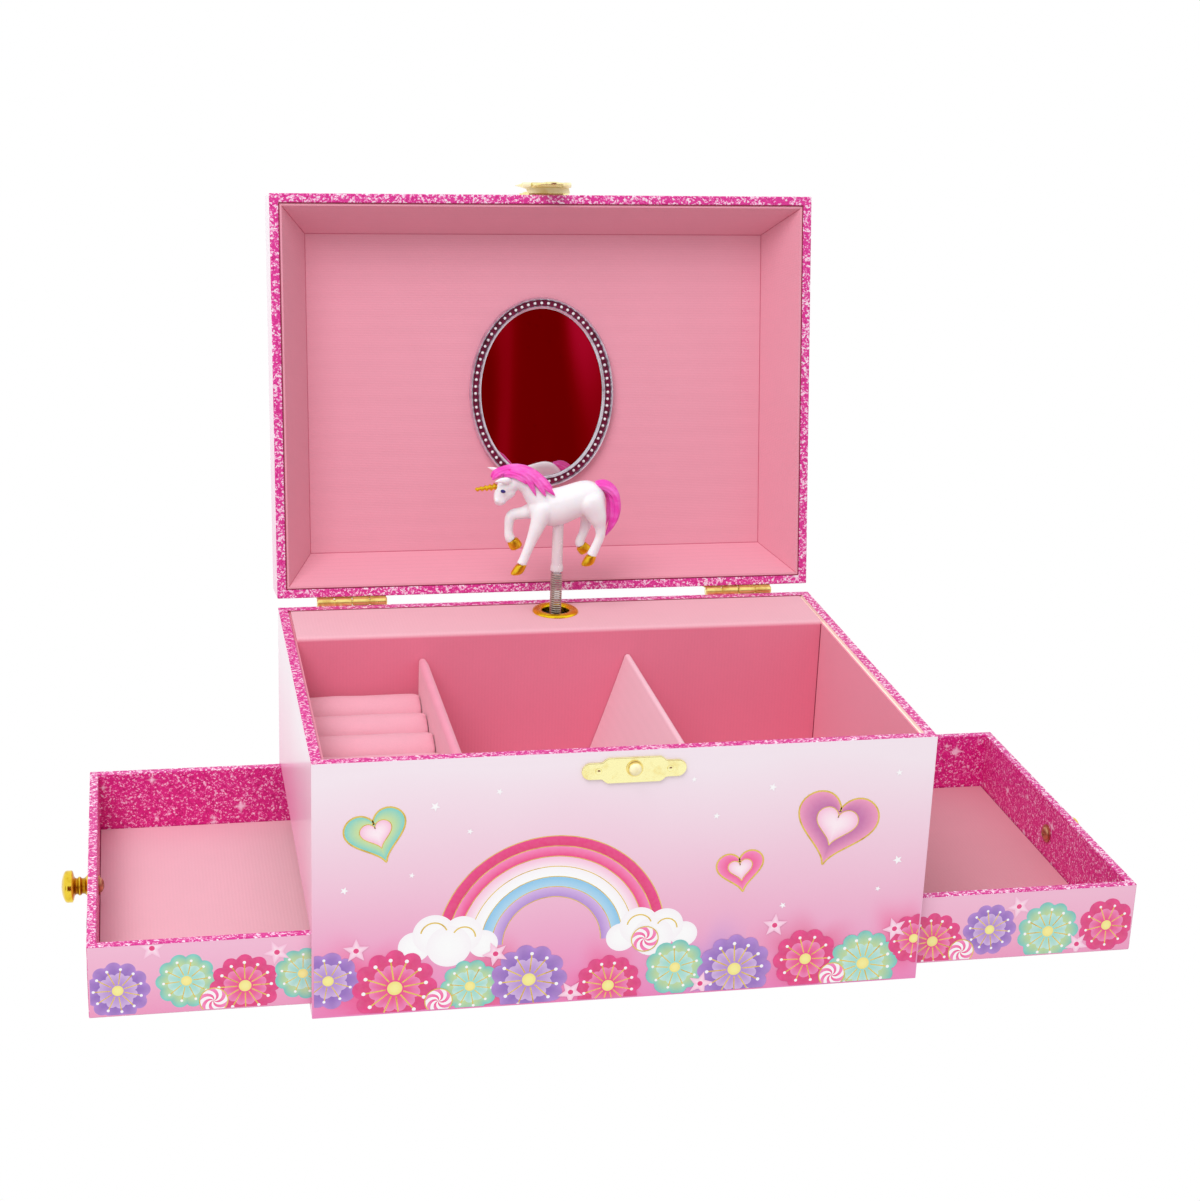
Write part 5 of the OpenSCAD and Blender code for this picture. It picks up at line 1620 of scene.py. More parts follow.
@dataclass
class Padding:
    """The ring rolls and the padded divider: foam under cloth."""

    voxel: float = 1.05 * MM
    frames: int = 18
    shrink: float = 0.5 * MM
    cap: float = 0.9 * MM
    loft: float = 1.8 * MM
    count: int = 6
    space: float = 0.4 * MM
    pressure: float = 4.0

    def build(self) -> None:
        """Makes both padded pieces."""
        self.rolls()
        self.divider()

    def swollen(self, obj: bpy.types.Object) -> bpy.types.Object:
        """Blows a block up as foam under cloth, with its foot held.

        Args:
            obj: The block, a little smaller than the pad.

        Returns:
            The same object with its new mesh.
        """
        mesher = obj.modifiers.new("mesh", "REMESH")
        mesher.mode, mesher.voxel_size = "VOXEL", self.voxel
        Forge.applied(obj)
        rest = [v.co.copy() for v in obj.data.vertices]
        foot = min(v.z for v in rest)
        held = obj.vertex_groups.new(name="foot")
        held.add([i for i, v in enumerate(rest) if v.z < foot + self.voxel * 1.5], 1.0, "REPLACE")
        cloth = obj.modifiers.new("cloth", "CLOTH")
        cloth.settings.use_pressure = True
        cloth.settings.uniform_pressure_force = self.pressure
        cloth.settings.quality = 5
        cloth.settings.vertex_group_mass = "foot"
        cloth.settings.effector_weights.gravity = 0.0
        cloth.point_cache.frame_start, cloth.point_cache.frame_end = 1, self.frames
        scene = bpy.context.scene
        for number in range(1, self.frames + 1):
            scene.frame_set(number)
        Forge.applied(obj)
        scene.frame_set(1)
        for vert, old in zip(obj.data.vertices, rest):
            shift = vert.co - old
            if shift.length > self.cap:
                vert.co = old + shift.normalized() * self.cap
        obj.vertex_groups.clear()
        return obj

    def rolls(self) -> None:
        """Six rolls side by side, each from the same swollen form with a little of its own unevenness."""
        low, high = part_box("ring_rolls")
        pitch = (high.y - low.y + self.space) / self.count
        width = pitch - self.space
        s = self.shrink
        r = width / 2 - s
        top = high.z + self.loft
        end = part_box("padded_divider")[0].x - 0.15 * MM
        outline = ([(-r, low.z + s), (r, low.z + s)] + arc(0, top - s - r, r, 0, 180, 16))
        pad = self.swollen(Forge.show("roll", Forge.prism("roll", outline, low.x + s, end - s * 0.4, ALONG_X)))
        relax = pad.modifiers.new("relax", "SMOOTH")
        relax.iterations, relax.factor = 4, 0.5
        Forge.applied(pad)
        copies = []
        for i in range(self.count):
            mesh = pad.data.copy()
            middle = low.y + width / 2 + pitch * i
            for v in mesh.vertices:
                ripple = noise.noise(Vector((v.co.x * 90, v.co.y * 90 + i * 7.3, v.co.z * 90)))
                v.co.z = max(low.z, min(top, v.co.z + ripple * 0.22 * MM * (1 if v.co.z > low.z + 4 * MM else 0)))
                v.co.y = max(-width / 2, min(width / 2, v.co.y + ripple * 0.12 * MM)) + middle
                v.co.x = max(low.x, min(end, v.co.x))
            copies.append(mesh)
        obj = Forge.show("ring_roll_pads", Forge.joined("ring_roll_pads", copies))
        bpy.data.objects.remove(pad)
        Forge.settle(obj, "case", (Finish.PAD,), ("ring_rolls",), smooth=True)

    def divider(self) -> None:
        """The upright padded divider, crowned along its top and slightly full in the middle."""
        low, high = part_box("padded_divider")
        half = (high.x - low.x) / 2
        mid = (low.x + high.x) / 2
        rings = []
        steps = 40
        for i in range(steps + 1):
            k = i / steps
            y = low.y + (high.y - low.y) * k
            full = min(1.0, 6 * min(k, 1 - k) + 0.72)
            ring = []
            for x, z in ([(-half * 0.9, low.z), (half * 0.9, low.z)]
                         + [(half * full, low.z + (high.z - half - low.z) * j / 6) for j in range(1, 6)]
                         + arc(0, high.z - half, half * full, 0, 180, 12)
                         + [(-half * full, low.z + (high.z - half - low.z) * j / 6) for j in range(5, 0, -1)]):
                ripple = noise.noise(Vector((x * 60, y * 60, z * 60))) * 0.1 * MM
                ring.append(Vector((mid + x + (ripple if abs(x) < half * 0.95 else 0), y, z)))
            rings.append(ring)
        obj = Forge.show("divider_pad", Forge.loft("divider_pad", rings))
        Forge.bevelled(obj, 0.35 * MM, 3, 60)
        Forge.settle(obj, "case", (Finish.DIVIDER_PAD,), ("padded_divider",))


# ---------------------------------------------------------------- lid
@dataclass
class Lid:
    """Lid shell, mirror with its beaded frame, and their places when the lid stands open."""

    gap: float = 0.5 * MM
    depth: float = 19.8 * MM
    card: float = 1.0 * MM
    board: float = 3.3 * MM
    mirror_x: float = 1.2 * MM
    mirror_half: tuple[float, float] = (27.4 * MM, 35.6 * MM)
    band: float = 4.3 * MM
    beads: int = 72
    bead: float = 0.62 * MM
    bead_line: float = 2.2 * MM
    rim: float = 0.5 * MM
    edge: float = 0.45 * MM

    def __post_init__(self) -> None:
        """Works out the open lid's place."""
        joint = next(j for j in frame["joints"] if j["name"] == "lid_hinge")
        pivot = Matrix.Translation(joint["pos_m"])
        self.turn = pivot @ Matrix.Rotation(-math.radians(joint["range_deg"][1]), 4, "X") @ pivot.inverted()
        self.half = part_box("back_board")[1]
        self.foot = self.half.z + self.gap
        self.panel = self.foot + self.depth

    def build(self) -> None:
        """Makes and dresses every piece of the lid."""
        self.shell()
        self.mirror()
        self.prints()
        Forge.dress(Finish.LID_LINING, "lid_lining", "lid_panel")
        self.creases()

    def creases(self) -> None:
        """Dark strips that paint the shade in the lining's mitres and along the panel's border, and the shadow in the
        seam along the rim.
        """
        mouth, top = (95.7, 68.2, 87.8), (86.2, 58.7, 107.24)
        lines = self.border(*top) + [
            ((sx * mouth[0], sy * mouth[1], mouth[2]), (sx * top[0], sy * top[1], top[2]))
            for sx in (-1, 1) for sy in (-1, 1)]
        # Thin dark strips on the lining's mitres and panel border: painted crease shade.
        Forge.settle(Forge.wires("lid_crease_shade", lines, 0.17, self.turn), "lid", (Finish.CREASE,))
        # Dark strips round the rim: painted shadow in the seam's gap.
        seam = self.border(96.62, 69.12, 87.66)
        Forge.settle(Forge.wires("lid_seam_shadow", seam, 0.2, self.turn), "lid", (Finish.SEAM,))

    @staticmethod
    def border(x: float, y: float, z: float) -> list[tuple[Point, Point]]:
        """The four sides of a rectangle about the middle."""
        corners = [(-x, -y, z), (x, -y, z), (x, y, z), (-x, y, z)]
        return [(corners[k - 1], corners[k]) for k in range(4)]

    def shell(self) -> None:
        """The wrapped lid with a glitter rim."""
        x, y, w = self.half.x, self.half.y, self.board
        roof = self.panel + self.card
        obj = Forge.carved("lid_walls", Forge.box("lid_walls", (-x, -y, self.foot), (x, y, roof + w)), [
            Forge.box("room", (-x + w, -y + w, self.foot - 0.01), (x - w, y - w, roof))])
        Forge.settle(obj, "lid", (Finish.LID_LAMINATE, Finish.GLITTER_RIM), ("lid_shell",), edge=self.edge, steps=3,
                     rule=lambda middle, _: int(middle.z < self.foot + self.rim), place=self.turn)

    def oval(self, inset: float, count: int = 144) -> Outline:
        """Oval inside the frame's outer edge."""
        a, b = self.mirror_half[0] - inset, self.mirror_half[1] - inset
        return [(a * math.cos(k), b * math.sin(k)) for k in circle(count)]

    def place(self) -> Matrix:
        """Frame of the mirror: its Z points out of the lid."""
        return self.turn @ Matrix.Translation((self.mirror_x, 0, self.panel)) @ Matrix.Rotation(math.pi, 4, "X")

    def mirror(self) -> None:
        """Moulded oval frame, the channel's beads and the glass."""
        place = self.place()
        profile = [(0.0, 0.0), (0.0, 1.9), (0.15, 2.6), (0.5, 3.0), (0.9, 2.7), (1.15, 1.9), (1.25, 1.45), (2.2, 1.3),
                   (3.1, 1.45), (3.2, 2.0), (3.35, 2.6), (3.65, 2.85), (4.0, 2.6), (4.25, 2.0), (4.3, 1.2), (4.3, 0.0)]
        rings = [[place @ Vector((x, y, h * MM)) for x, y in self.oval(inset * MM)] for inset, h in profile]
        n = len(rings[0])
        verts = [p for ring in rings for p in ring]
        faces = [(i * n + k, i * n + (k + 1) % n, ((i + 1) % len(rings)) * n + (k + 1) % n,
                  ((i + 1) % len(rings)) * n + k) for i in range(len(rings)) for k in range(n)]
        obj = Forge.show("mirror_moulding", Forge.mesh("mirror_moulding", verts, faces))
        Forge.settle(obj, "lid", (Finish.SILVER, Finish.CHANNEL), ("mirror_frame",), edge=0,
                     rule=lambda middle, _: int(self.in_channel(place, middle)))
        self.bead_row(place)
        glass = Forge.prism("mirror_plate", self.oval(self.band + 0.05 * MM), 0.0, 1.2 * MM, place)
        Forge.settle(Forge.show("mirror_plate", glass), "lid", (Finish.MIRROR,), ("mirror_glass",))

    def in_channel(self, place: Matrix, point: Vector) -> bool:
        """Whether a point of the frame lies on the channel's floor.

        Args:
            place: Frame of the mirror.
            point: The point.

        Returns:
            Whether it does.
        """
        height = (point - place @ Vector((0, 0, 0))).dot(place.to_3x3() @ Vector((0, 0, 1)))
        return 1.2 * MM < height < 1.5 * MM and 1.15 * MM < self.inset_of(place, point) < 3.15 * MM

    def inset_of(self, place: Matrix, point: Vector) -> float:
        """How far a point lies inside the frame's outer edge, roughly.

        Args:
            place: Frame of the mirror.
            point: The point.

        Returns:
            The distance.
        """
        local = place.inverted() @ point
        a, b = self.mirror_half
        reach = math.hypot(local.x / a, local.y / b)
        return (1 - reach) * math.hypot(local.x, local.y) / max(reach, 1e-6)

    def bead_row(self, place: Matrix) -> None:
        """Beads at even steps along the channel.

        Args:
            place: Frame of the mirror.
        """
        a, b = (half - self.bead_line for half in self.mirror_half)
        pattern = Pattern("bead row", {"Count": ("NodeSocketInt", self.beads), "Radius": ("NodeSocketFloat", self.bead),
                                       "Across": ("NodeSocketFloat", a), "Along": ("NodeSocketFloat", b)})
        loop = pattern.add("GeometryNodeCurvePrimitiveCircle", {"mode": "RADIUS"}, {"Resolution": 180, "Radius": 1.0})
        size = pattern.add("ShaderNodeCombineXYZ", None,
                           {0: pattern.given("Across"), 1: pattern.given("Along"), 2: 1.0})
        oval = pattern.add("GeometryNodeTransform", None, {"Geometry": loop, "Scale": size})
        spots = pattern.add("GeometryNodeResampleCurve", None, {"Curve": oval, "Count": pattern.given("Count")})
        bead = pattern.add("GeometryNodeMeshUVSphere", None, {"Segments": 12, "Rings": 8,
                                                              "Radius": pattern.given("Radius")})
        row = pattern.add("GeometryNodeInstanceOnPoints", None, {"Points": spots, "Instance": bead})
        pattern.close(row, Finish.BEAD)
        obj = pattern.grown("mirror_beads", Forge.box("seed", (0, 0, 0), (MM, MM, MM)))
        Forge.settle(obj, "lid", (Finish.BEAD,), smooth=True, place=place @ Matrix.Translation((0, 0, 1.55 * MM)))

    def prints(self) -> None:
        """Motifs on the outside of the lid."""
        top = self.panel + self.card + self.board
        spin = self.turn.to_3x3()
        sheet = PrintSheet("lid_print", self.turn @ Vector((0, 0, top)), spin @ Vector((1, 0, 0)),
                           spin @ Vector((0, 1, 0)), spin @ Vector((0, 0, 1)), (-99, 99, -71.5, 71.5), Finish.LID_INK)
        for row in ((-84, -58, 13, 11, Ink.MAGENTA), (-60, -62, 10, 9, Ink.TEAL), (84, -57, 13, 12, Ink.VIOLET),
                    (61, -63, 10, 10, Ink.MAGENTA), (-90, -34, 9, 9, Ink.VIOLET), (91, -33, 9, 9, Ink.TEAL)):
            sheet.rosette(*row, turn=row[0] * 0.1)
        sheet.heart(0, 2, 44, Ink.ORCHID)
        for k, a in enumerate(circle(14)):
            sheet.star(54 * math.cos(a), 2 + 42 * math.sin(a), 1.8 if k % 2 else 1.2, Ink.WHITE, a)
        sheet.piece("lid")


# ---------------------------------------------------------------- drawers
@dataclass
class Drawer:
    """One drawer: tray, lining card, knob and screw."""

    side: str
    sign: int
    wall: float = 3.0 * MM
    floor: float = 2.2 * MM
    rim: float = 0.45 * MM
    edge: float = 0.4 * MM

    def __post_init__(self) -> None:
        """Finds the drawer's body and its tray."""
        self.body = f"{self.side}_drawer"
        self.low, self.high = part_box(f"{self.body}_tray")

    def build(self) -> None:
        """Makes and dresses every piece of the drawer."""
        low, high, body, w = self.low, self.high, self.body, self.wall
        obj = Forge.carved(f"{body}_box", Forge.box("tray", low, high), [
            Forge.box("room", (low.x + w, low.y + w, low.z + self.floor), (high.x - w, high.y - w, high.z + 0.01))])
        Forge.settle(obj, body, (Finish.DRAWER_LAMINATE, Finish.GLITTER_WALL, Finish.GLITTER_RIM), (f"{body}_tray",),
                     edge=self.edge, steps=3, rule=self.wall_finish)
        # The right drawer's card takes the darker copy of the floor lining: painted shadow of the case.
        Forge.dress(Finish.FLOOR_LINING if self.sign < 0 else Finish.PAINTED_SHADOW_LINING, f"{body}_card")
        wall = (low.x + w if self.sign < 0 else high.x - w) / MM - 0.15 * self.sign
        # A dark strip painted as the shadow in the gap between the card and the drawer's wall.
        seam = Forge.wires(f"{body}_seam", [((wall, -64.8, 5.75), (wall, 64.8, 5.75))], 0.16, Matrix())
        Forge.settle(seam, body, (Finish.SEAM,))
        self.knob()
        self.prints()

    def wall_finish(self, middle: Vector, _: Vector) -> int:
        """Laminate outside, glitter inside and another glitter on the rim.

        Args:
            middle: The face's middle.
            _: Its normal, which doesn't matter here.

        Returns:
            The material number.
        """
        low, high, skin = self.low, self.high, 1e-4
        if middle.z > high.z - self.rim:
            return 2
        inside = low.x + skin < middle.x < high.x - skin and low.y + skin < middle.y < high.y - skin
        return int(inside and middle.z > low.z + skin)

    def knob(self) -> None:
        """Turned knob, and its screw with a washer inside the drawer."""
        low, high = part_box(f"{self.side}_knob")
        mid_y, mid_z = (low.y + high.y) / 2, (low.z + high.z) / 2
        r, length = (high.z - low.z) / 2, high.x - low.x
        foot_x = high.x if self.sign < 0 else low.x
        place = axle((foot_x, mid_y, mid_z), "Y", self.sign)
        line = [(0.64, 0.0), (0.66, 0.5), (0.58, 1.0), (0.5, 1.5), (0.48, 2.3), (0.56, 2.8), (0.58, 3.4), (0.5, 3.9),
                (0.55, 4.7), (0.86, 5.2), (0.98, 5.6), (0.985, 6.4), (0.985, 7.2), (0.94, 7.8), (0.80, 8.3)]
        profile = curve_through([*((r * k, h * MM) for k, h in line), (r * 0.48, length * 0.965), (0.0, length)], 3)
        obj = Forge.show(f"{self.side}_turned_knob",
                         Forge.lathe("knob", [(0.0, 0.0), *map(tuple, profile)], place, 56))
        # The narrow neck's side faces take the darker gilt: painted shade in the knob's recess.
        Forge.settle(obj, self.body, (Finish.KNOB_GOLD, Finish.KNOB_PAINTED_SHADE), (f"{self.side}_knob",), edge=0,
                     rule=lambda middle, normal: int(math.hypot(middle.y - mid_y, middle.z - mid_z) < r * 0.57
                                                     and abs(normal.x) < 0.8))
        screw = Forge.merged(f"{self.side}_screw_head", f"{self.side}_knob_screw")
        Forge.settle(screw, self.body, (Finish.SCREW,), (f"{self.side}_knob_screw",), edge=0.08 * MM, steps=1)

    def prints(self) -> None:
        """Motifs along both long sides and on the outer end."""
        x, y, z = Vector((1, 0, 0)), Vector((0, 1, 0)), Vector((0, 0, 1))
        width = (self.high.x - self.low.x) / MM
        rows = {-1: ((9, 9, 10, 11, Ink.VIOLET), (30, 11, 9.5, 10, Ink.TEAL), (48, 8, 11, 12, Ink.MAGENTA),
                     (66, 11, 9, 9, Ink.TEAL), (86, 10, 10, 10, Ink.VIOLET)),
                1: ((8, 10, 9, 9, Ink.TEAL), (26, 8, 10.5, 12, Ink.MAGENTA), (46, 11, 9.5, 10, Ink.VIOLET),
                    (67, 9, 11, 11, Ink.TEAL), (88, 10, 10, 9, Ink.MAGENTA))}
        depth = (self.high.y - self.low.y) / MM
        near, far = (self.low, self.high) if self.sign > 0 else (self.high, self.low)
        end_row = ((10, 9, 10, 11, Ink.MAGENTA), (31, 11, 9, 9, Ink.TEAL), (50, 8, 9.5, 12, Ink.VIOLET),
                   (90, 10, 10, 10, Ink.MAGENTA), (110, 8, 9, 9, Ink.VIOLET), (127, 12, 10, 11, Ink.TEAL))
        for name, corner, right, out, reach, row in (
                ("front", (self.low.x, self.low.y), x, -y, width, rows[self.sign]),
                ("back", (self.high.x, self.high.y), -x, y, width, rows[self.sign]),
                ("end", (far.x, near.y), y * self.sign, x * self.sign, depth, end_row)):
            sheet = PrintSheet(f"{self.body}_{name}_print", Vector((*corner, self.low.z)), right, z, out,
                               (0.6, reach - 0.6, 0.6, 24.1), Finish.DRAWER_INK)
            Case.garden(sheet, row)
            sheet.piece(self.body)


# ---------------------------------------------------------------- brass
@dataclass
class Hardware:
    """Hinges, clasp, hasp, nails, key and movement."""

    lid: Lid
    leaf: float = 0.8 * MM
    hinge_half: float = 12.7 * MM
    hinge_x: float = 73 * MM
    barrel: float = 1.7 * MM
    bore: float = 0.85 * MM
    clear: float = 0.3 * MM
    half_gap: float = 0.15 * MM
    nail: float = 1.1 * MM
    nail_rise: float = 0.6 * MM
    leaf_high: float = 9 * MM

    def build(self) -> None:
        """Makes and dresses every metal piece."""
        self.hinges()
        self.clasp()
        self.nails()
        self.hasp()
        Forge.settle(Forge.merged("butterfly_key", "winding_key"), "key", (Finish.BRASS,), ("winding_key",),
                     edge=0.18 * MM)
        Forge.dress(Finish.BRASS, "hinge_pins", "hasp_pin", "great_wheel", "pinned_cylinder", "governor_wheel")
        Forge.dress(Finish.STEEL, "bedplate", "bedplate_screws", "spring_housing", "comb", "comb_screws",
                    "spindle_bracket", "governor_bracket", "winding_arbor", "spindle")
        Forge.dress(Finish.SPRING, "mainspring")
        Forge.dress(Finish.DARK, "fly")

    def hinges(self) -> None:
        """Two butt hinges: each leaf with its rolled half of the barrel."""
        pin = lid_pivot()
        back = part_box("back_board")[1].y
        half, r, e, gap = self.hinge_half, self.barrel, self.clear, self.half_gap
        for body, name, node, way in (("case", "hinge_lower", "hinge_case_leaves", -1),
                                      ("lid", "hinge_upper", "hinge_lid_leaves", 1)):
            near = pin[2] + way * (r + e)
            far = near + way * self.leaf_high
            start, end = (-half, -gap) if way < 0 else (gap, half)
            cut = (start + end) / 2
            profile = [(self.bore, start), (r - e, start), (r, start + e), (r, cut - 0.36 * MM),
                       (r - 2 * e, cut - 0.26 * MM), (r - 2 * e, cut + 0.26 * MM), (r, cut + 0.36 * MM), (r, end - e),
                       (r - e, end), (self.bore, end)]
            parts = []
            for centre in (-self.hinge_x, self.hinge_x):
                plate = Forge.show("leaf", Forge.box("leaf", (centre - half, back, min(near, far)),
                                                     (centre + half, back + self.leaf, max(near, far))))
                Forge.bevelled(plate, 0.2 * MM)
                parts += [plate.data.copy(), Forge.lathe("barrel", profile, axle((centre, pin[1], pin[2]), "Y"), 40),
                          Forge.box("web", (centre + start + 0.2 * MM, back + 0.02 * MM, min(near, pin[2])),
                                    (centre + end - 0.2 * MM, back + self.leaf, max(near, pin[2])))]
                bpy.data.objects.remove(plate)
            Forge.settle(Forge.show(name, Forge.joined(name, parts)), body, (Finish.HINGE,), (node,), edge=0,
                         place=self.lid.turn if body == "lid" else None)

    def clasp(self) -> None:
        """Clasp plate with stepped, chamfered shoulders, and the ball stud."""
        low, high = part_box("clasp_plate")
        cx, cz = (low.x + high.x) / 2, (low.z + high.z) / 2
        w, h = (high.x - low.x) / 2, (high.z - low.z) / 2
        q = [(w * 0.50, h), (w * 0.56, h * 0.86), (w * 0.60, h * 0.70), (w * 0.64, h * 0.66)]
        end = arc(w - h * 0.66, 0, h * 0.66, 90, 0, 8)
        quarter = q + end
        outline = (quarter + [(x, -y) for x, y in quarter[::-1][1:]]
                   + [(-x, -y) for x, y in quarter] + [(-x, y) for x, y in quarter[::-1][1:]])
        face = Matrix.Translation((cx, 0, cz)) @ ALONG_Y
        Forge.settle(Forge.show("clasp_face", Forge.prism("clasp_face", outline, low.y, high.y, face)), "case",
                     (Finish.BRASS,), ("clasp_plate",), edge=0.28 * MM, steps=3, angle=45)
        slow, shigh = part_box("clasp_stud")
        x, z, r = (slow.x + shigh.x) / 2, (slow.z + shigh.z) / 2, (shigh.x - slow.x) / 2
        profile = [(0.0, -2.5 * MM), (0.7 * MM, -2.5 * MM), (0.7 * MM, 0.0), (r * 1.22, 0.02 * MM),
                   (r * 1.26, 0.24 * MM), (r * 1.16, 0.42 * MM), (r * 0.95, 0.46 * MM)]
        profile += [(r * 1.1 * math.cos(a), r * 1.06 * math.sin(a)) for a in map(math.radians, range(15, 90, 5))]
        profile.append((0.0, r * 1.06))
        stud = Forge.show("ball_stud", Forge.lathe("ball_stud", profile, axle((x, low.y, z), "X"), 48))
        # The ball takes the pale brass and its wide flange the darker lacquered brass: a painted highlight on the ball
        # and painted shade in the ring round it.
        Forge.settle(stud, "case", (Finish.HIGHLIGHT_BRASS, Finish.HINGE), ("clasp_stud",), edge=0,
                     rule=lambda middle, _: int(math.hypot(middle.x - x, middle.z - z) > r * 0.93))

    def hasp(self) -> None:
        """Lobed base plate with its raised shoulder and knuckles, and the tongue with its domed catch."""
        pin = (0.4 * MM, -76.12 * MM, 90.5 * MM)
        flat = Matrix(((MM, 0, 0, pin[0]), (0, 0, MM, 0), (0, MM, 0, 0), (0, 0, 0, 1)))
        upright = Matrix(((MM, 0, 0, pin[0]), (0, MM, 0, 0), (0, 0, MM, 0), (0, 0, 0, 1)))
        lobes = [(-9.2, 95.8), (-8.2, 94.0), (-7.2, 92.4), (-6.4, 91.8), (6.4, 91.8), (7.2, 92.4), (8.2, 94.0),
                 (9.2, 95.8), (8.4, 97.4), (6.2, 98.2), (3.6, 99.1), (-3.6, 99.1), (-6.2, 98.2), (-8.4, 97.4)]
        shoulder = [(-11.6, -75.9), (-8.8, -76.75), (-3.4, -77.0), (3.0, -77.0), (7.2, -76.8), (9.3, -76.2),
                    (8.4, -75.2), (8.9, -73.2), (-6.8, -73.2), (-7.4, -74.8), (-9.6, -75.4)]
        parts = [Forge.prism("plate", lobes, -73.3, -72.5, flat),
                 Forge.prism("shoulder", shoulder, 91.62, 92.25, upright),
                 self.knuckle(pin, -9.0, -6.0), self.knuckle(pin, 6.0, 9.0)]
        # Faces in front of y = -74 mm, the shoulder and the knuckles, take the pale brass as a painted highlight; the
        # plate keeps the polished brass.
        Forge.settle(Forge.show("hasp_plate", Forge.joined("hasp_plate", parts)), "lid",
                     (Finish.BRASS, Finish.HIGHLIGHT_BRASS), ("hasp_base",), edge=0.12 * MM,
                     rule=lambda middle, _: int(middle.y < -74.0 * MM), place=self.lid.turn)
        # A dark bronze block over the slot's mouth: painted shade where the slot goes into the shoulder.
        slit_shade = Forge.box("hasp_slit_shade", (-1.3 * MM, -77.06 * MM, 91.5 * MM), (1.9 * MM, -76.7 * MM, 92.3 * MM))
        Forge.settle(Forge.show("hasp_slit_shade", slit_shade), "lid", (Finish.SCREW,), place=self.lid.turn)
        edge = [(5.7, 89.6), (5.7, 86.4), (4.6, 84.8), (4.4, 81.6)]
        tongue = [(-x, z) for x, z in edge] + arc(0, 79.9, 4.4, 180, 360, 14)[1:-1] + edge[::-1]
        dome = [(0.0, 0.0), (3.3, 0.0), (3.1, 0.2), (2.5, 0.36), (1.6, 0.46), (0.0, 0.5)]
        parts = [Forge.prism("tongue", tongue, -76.55, -75.85, flat),
                 Forge.lathe("catch", [(x * MM, y * MM) for x, y in dome],
                             axle((pin[0], -76.5 * MM, 81.1 * MM), "X"), 32),
                 self.knuckle(pin, -5.7, 5.7)]
        Forge.settle(Forge.show("hasp_tongue", Forge.joined("hasp_tongue", parts)), "hasp", (Finish.BRASS,),
                     ("hasp_flap",), edge=0.1 * MM, place=self.lid.turn)

    @staticmethod
    def knuckle(pin: Point, near: float, far: float) -> bpy.types.Mesh:
        """One rolled knuckle round the hasp's pin, from near to far in millimetres."""
        profile = [(0.5 * MM, near * MM), (0.95 * MM, near * MM), (0.95 * MM, far * MM), (0.5 * MM, far * MM)]
        return Forge.lathe("knuckle", profile, axle(pin, "Y"), 24)

    def nails(self) -> None:
        """Domed nail heads, set by one tree for each body."""
        for node, body, place in (("case_nails", "case", Matrix()), ("lid_nails", "lid", self.lid.turn)):
            spots, ways = self.nail_spots(body)
            seed = bpy.data.meshes.new("spots")
            seed.from_pydata(spots, [], [])
            way = seed.attributes.new("way", "FLOAT_VECTOR", "POINT")
            for i, w in enumerate(ways):
                way.data[i].vector = w
            pattern = Pattern(f"{body} nail heads", {"Head": ("NodeSocketFloat", self.nail),
                                                     "Rise": ("NodeSocketFloat", self.nail_rise)})
            dome = pattern.add("GeometryNodeMeshUVSphere", None, {"Segments": 20, "Rings": 12, "Radius": 1.0})
            size = pattern.add("ShaderNodeCombineXYZ", None, {0: pattern.given("Head"), 1: pattern.given("Head"),
                                                              2: pattern.given("Rise")})
            head = pattern.add("GeometryNodeTransform", None, {"Geometry": dome, "Scale": size})
            facing = pattern.add("GeometryNodeInputNamedAttribute", {"data_type": "FLOAT_VECTOR"}, {"Name": "way"})
            spin = pattern.add("FunctionNodeAlignRotationToVector", {"axis": "Z"}, {"Vector": facing})
            row = pattern.add("GeometryNodeInstanceOnPoints", None, {
                "Points": pattern.given("Geometry"), "Instance": head, "Rotation": spin})
            pattern.close(row, Finish.BRASS)
            Forge.settle(pattern.grown(f"{body}_nail_heads", seed), body, (Finish.BRASS,), (node,),
                         smooth=True, place=place)

    def nail_spots(self, body: str) -> tuple[list[Point], list[Point]]:
        """Places and directions of the nail heads, with the lid closed.

        Args:
            body: The body that carries the nails.

        Returns:
            The places and the directions.
        """
        way = -1 if body == "case" else 1
        z = lid_pivot()[2] + way * (self.barrel + self.clear + self.leaf_high / 2)
        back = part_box("back_board")[1].y + self.leaf
        spots = [(s * self.hinge_x + k * self.hinge_half * 0.54, back, z) for s in (-1, 1) for k in (-1, 1)]
        ways = [(0.0, 1.0, 0.0)] * 4
        if body == "case":
            low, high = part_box("clasp_plate")
            z_front, reach, front = (low.z + high.z) / 2, (high.x - low.x) / 2 - 5.3 * MM, low.y
        else:
            z_front, reach = self.lid.foot + 3.0 * MM + 0.95 * MM + 0.3 * MM + 3.7 * MM, 7.0 * MM
            front = -self.lid.half.y - self.leaf
        spots += [(0.4 * MM + s * reach, front, z_front) for s in (-1, 1)]
        ways += [(0.0, -1.0, 0.0)] * 2
        return spots, ways


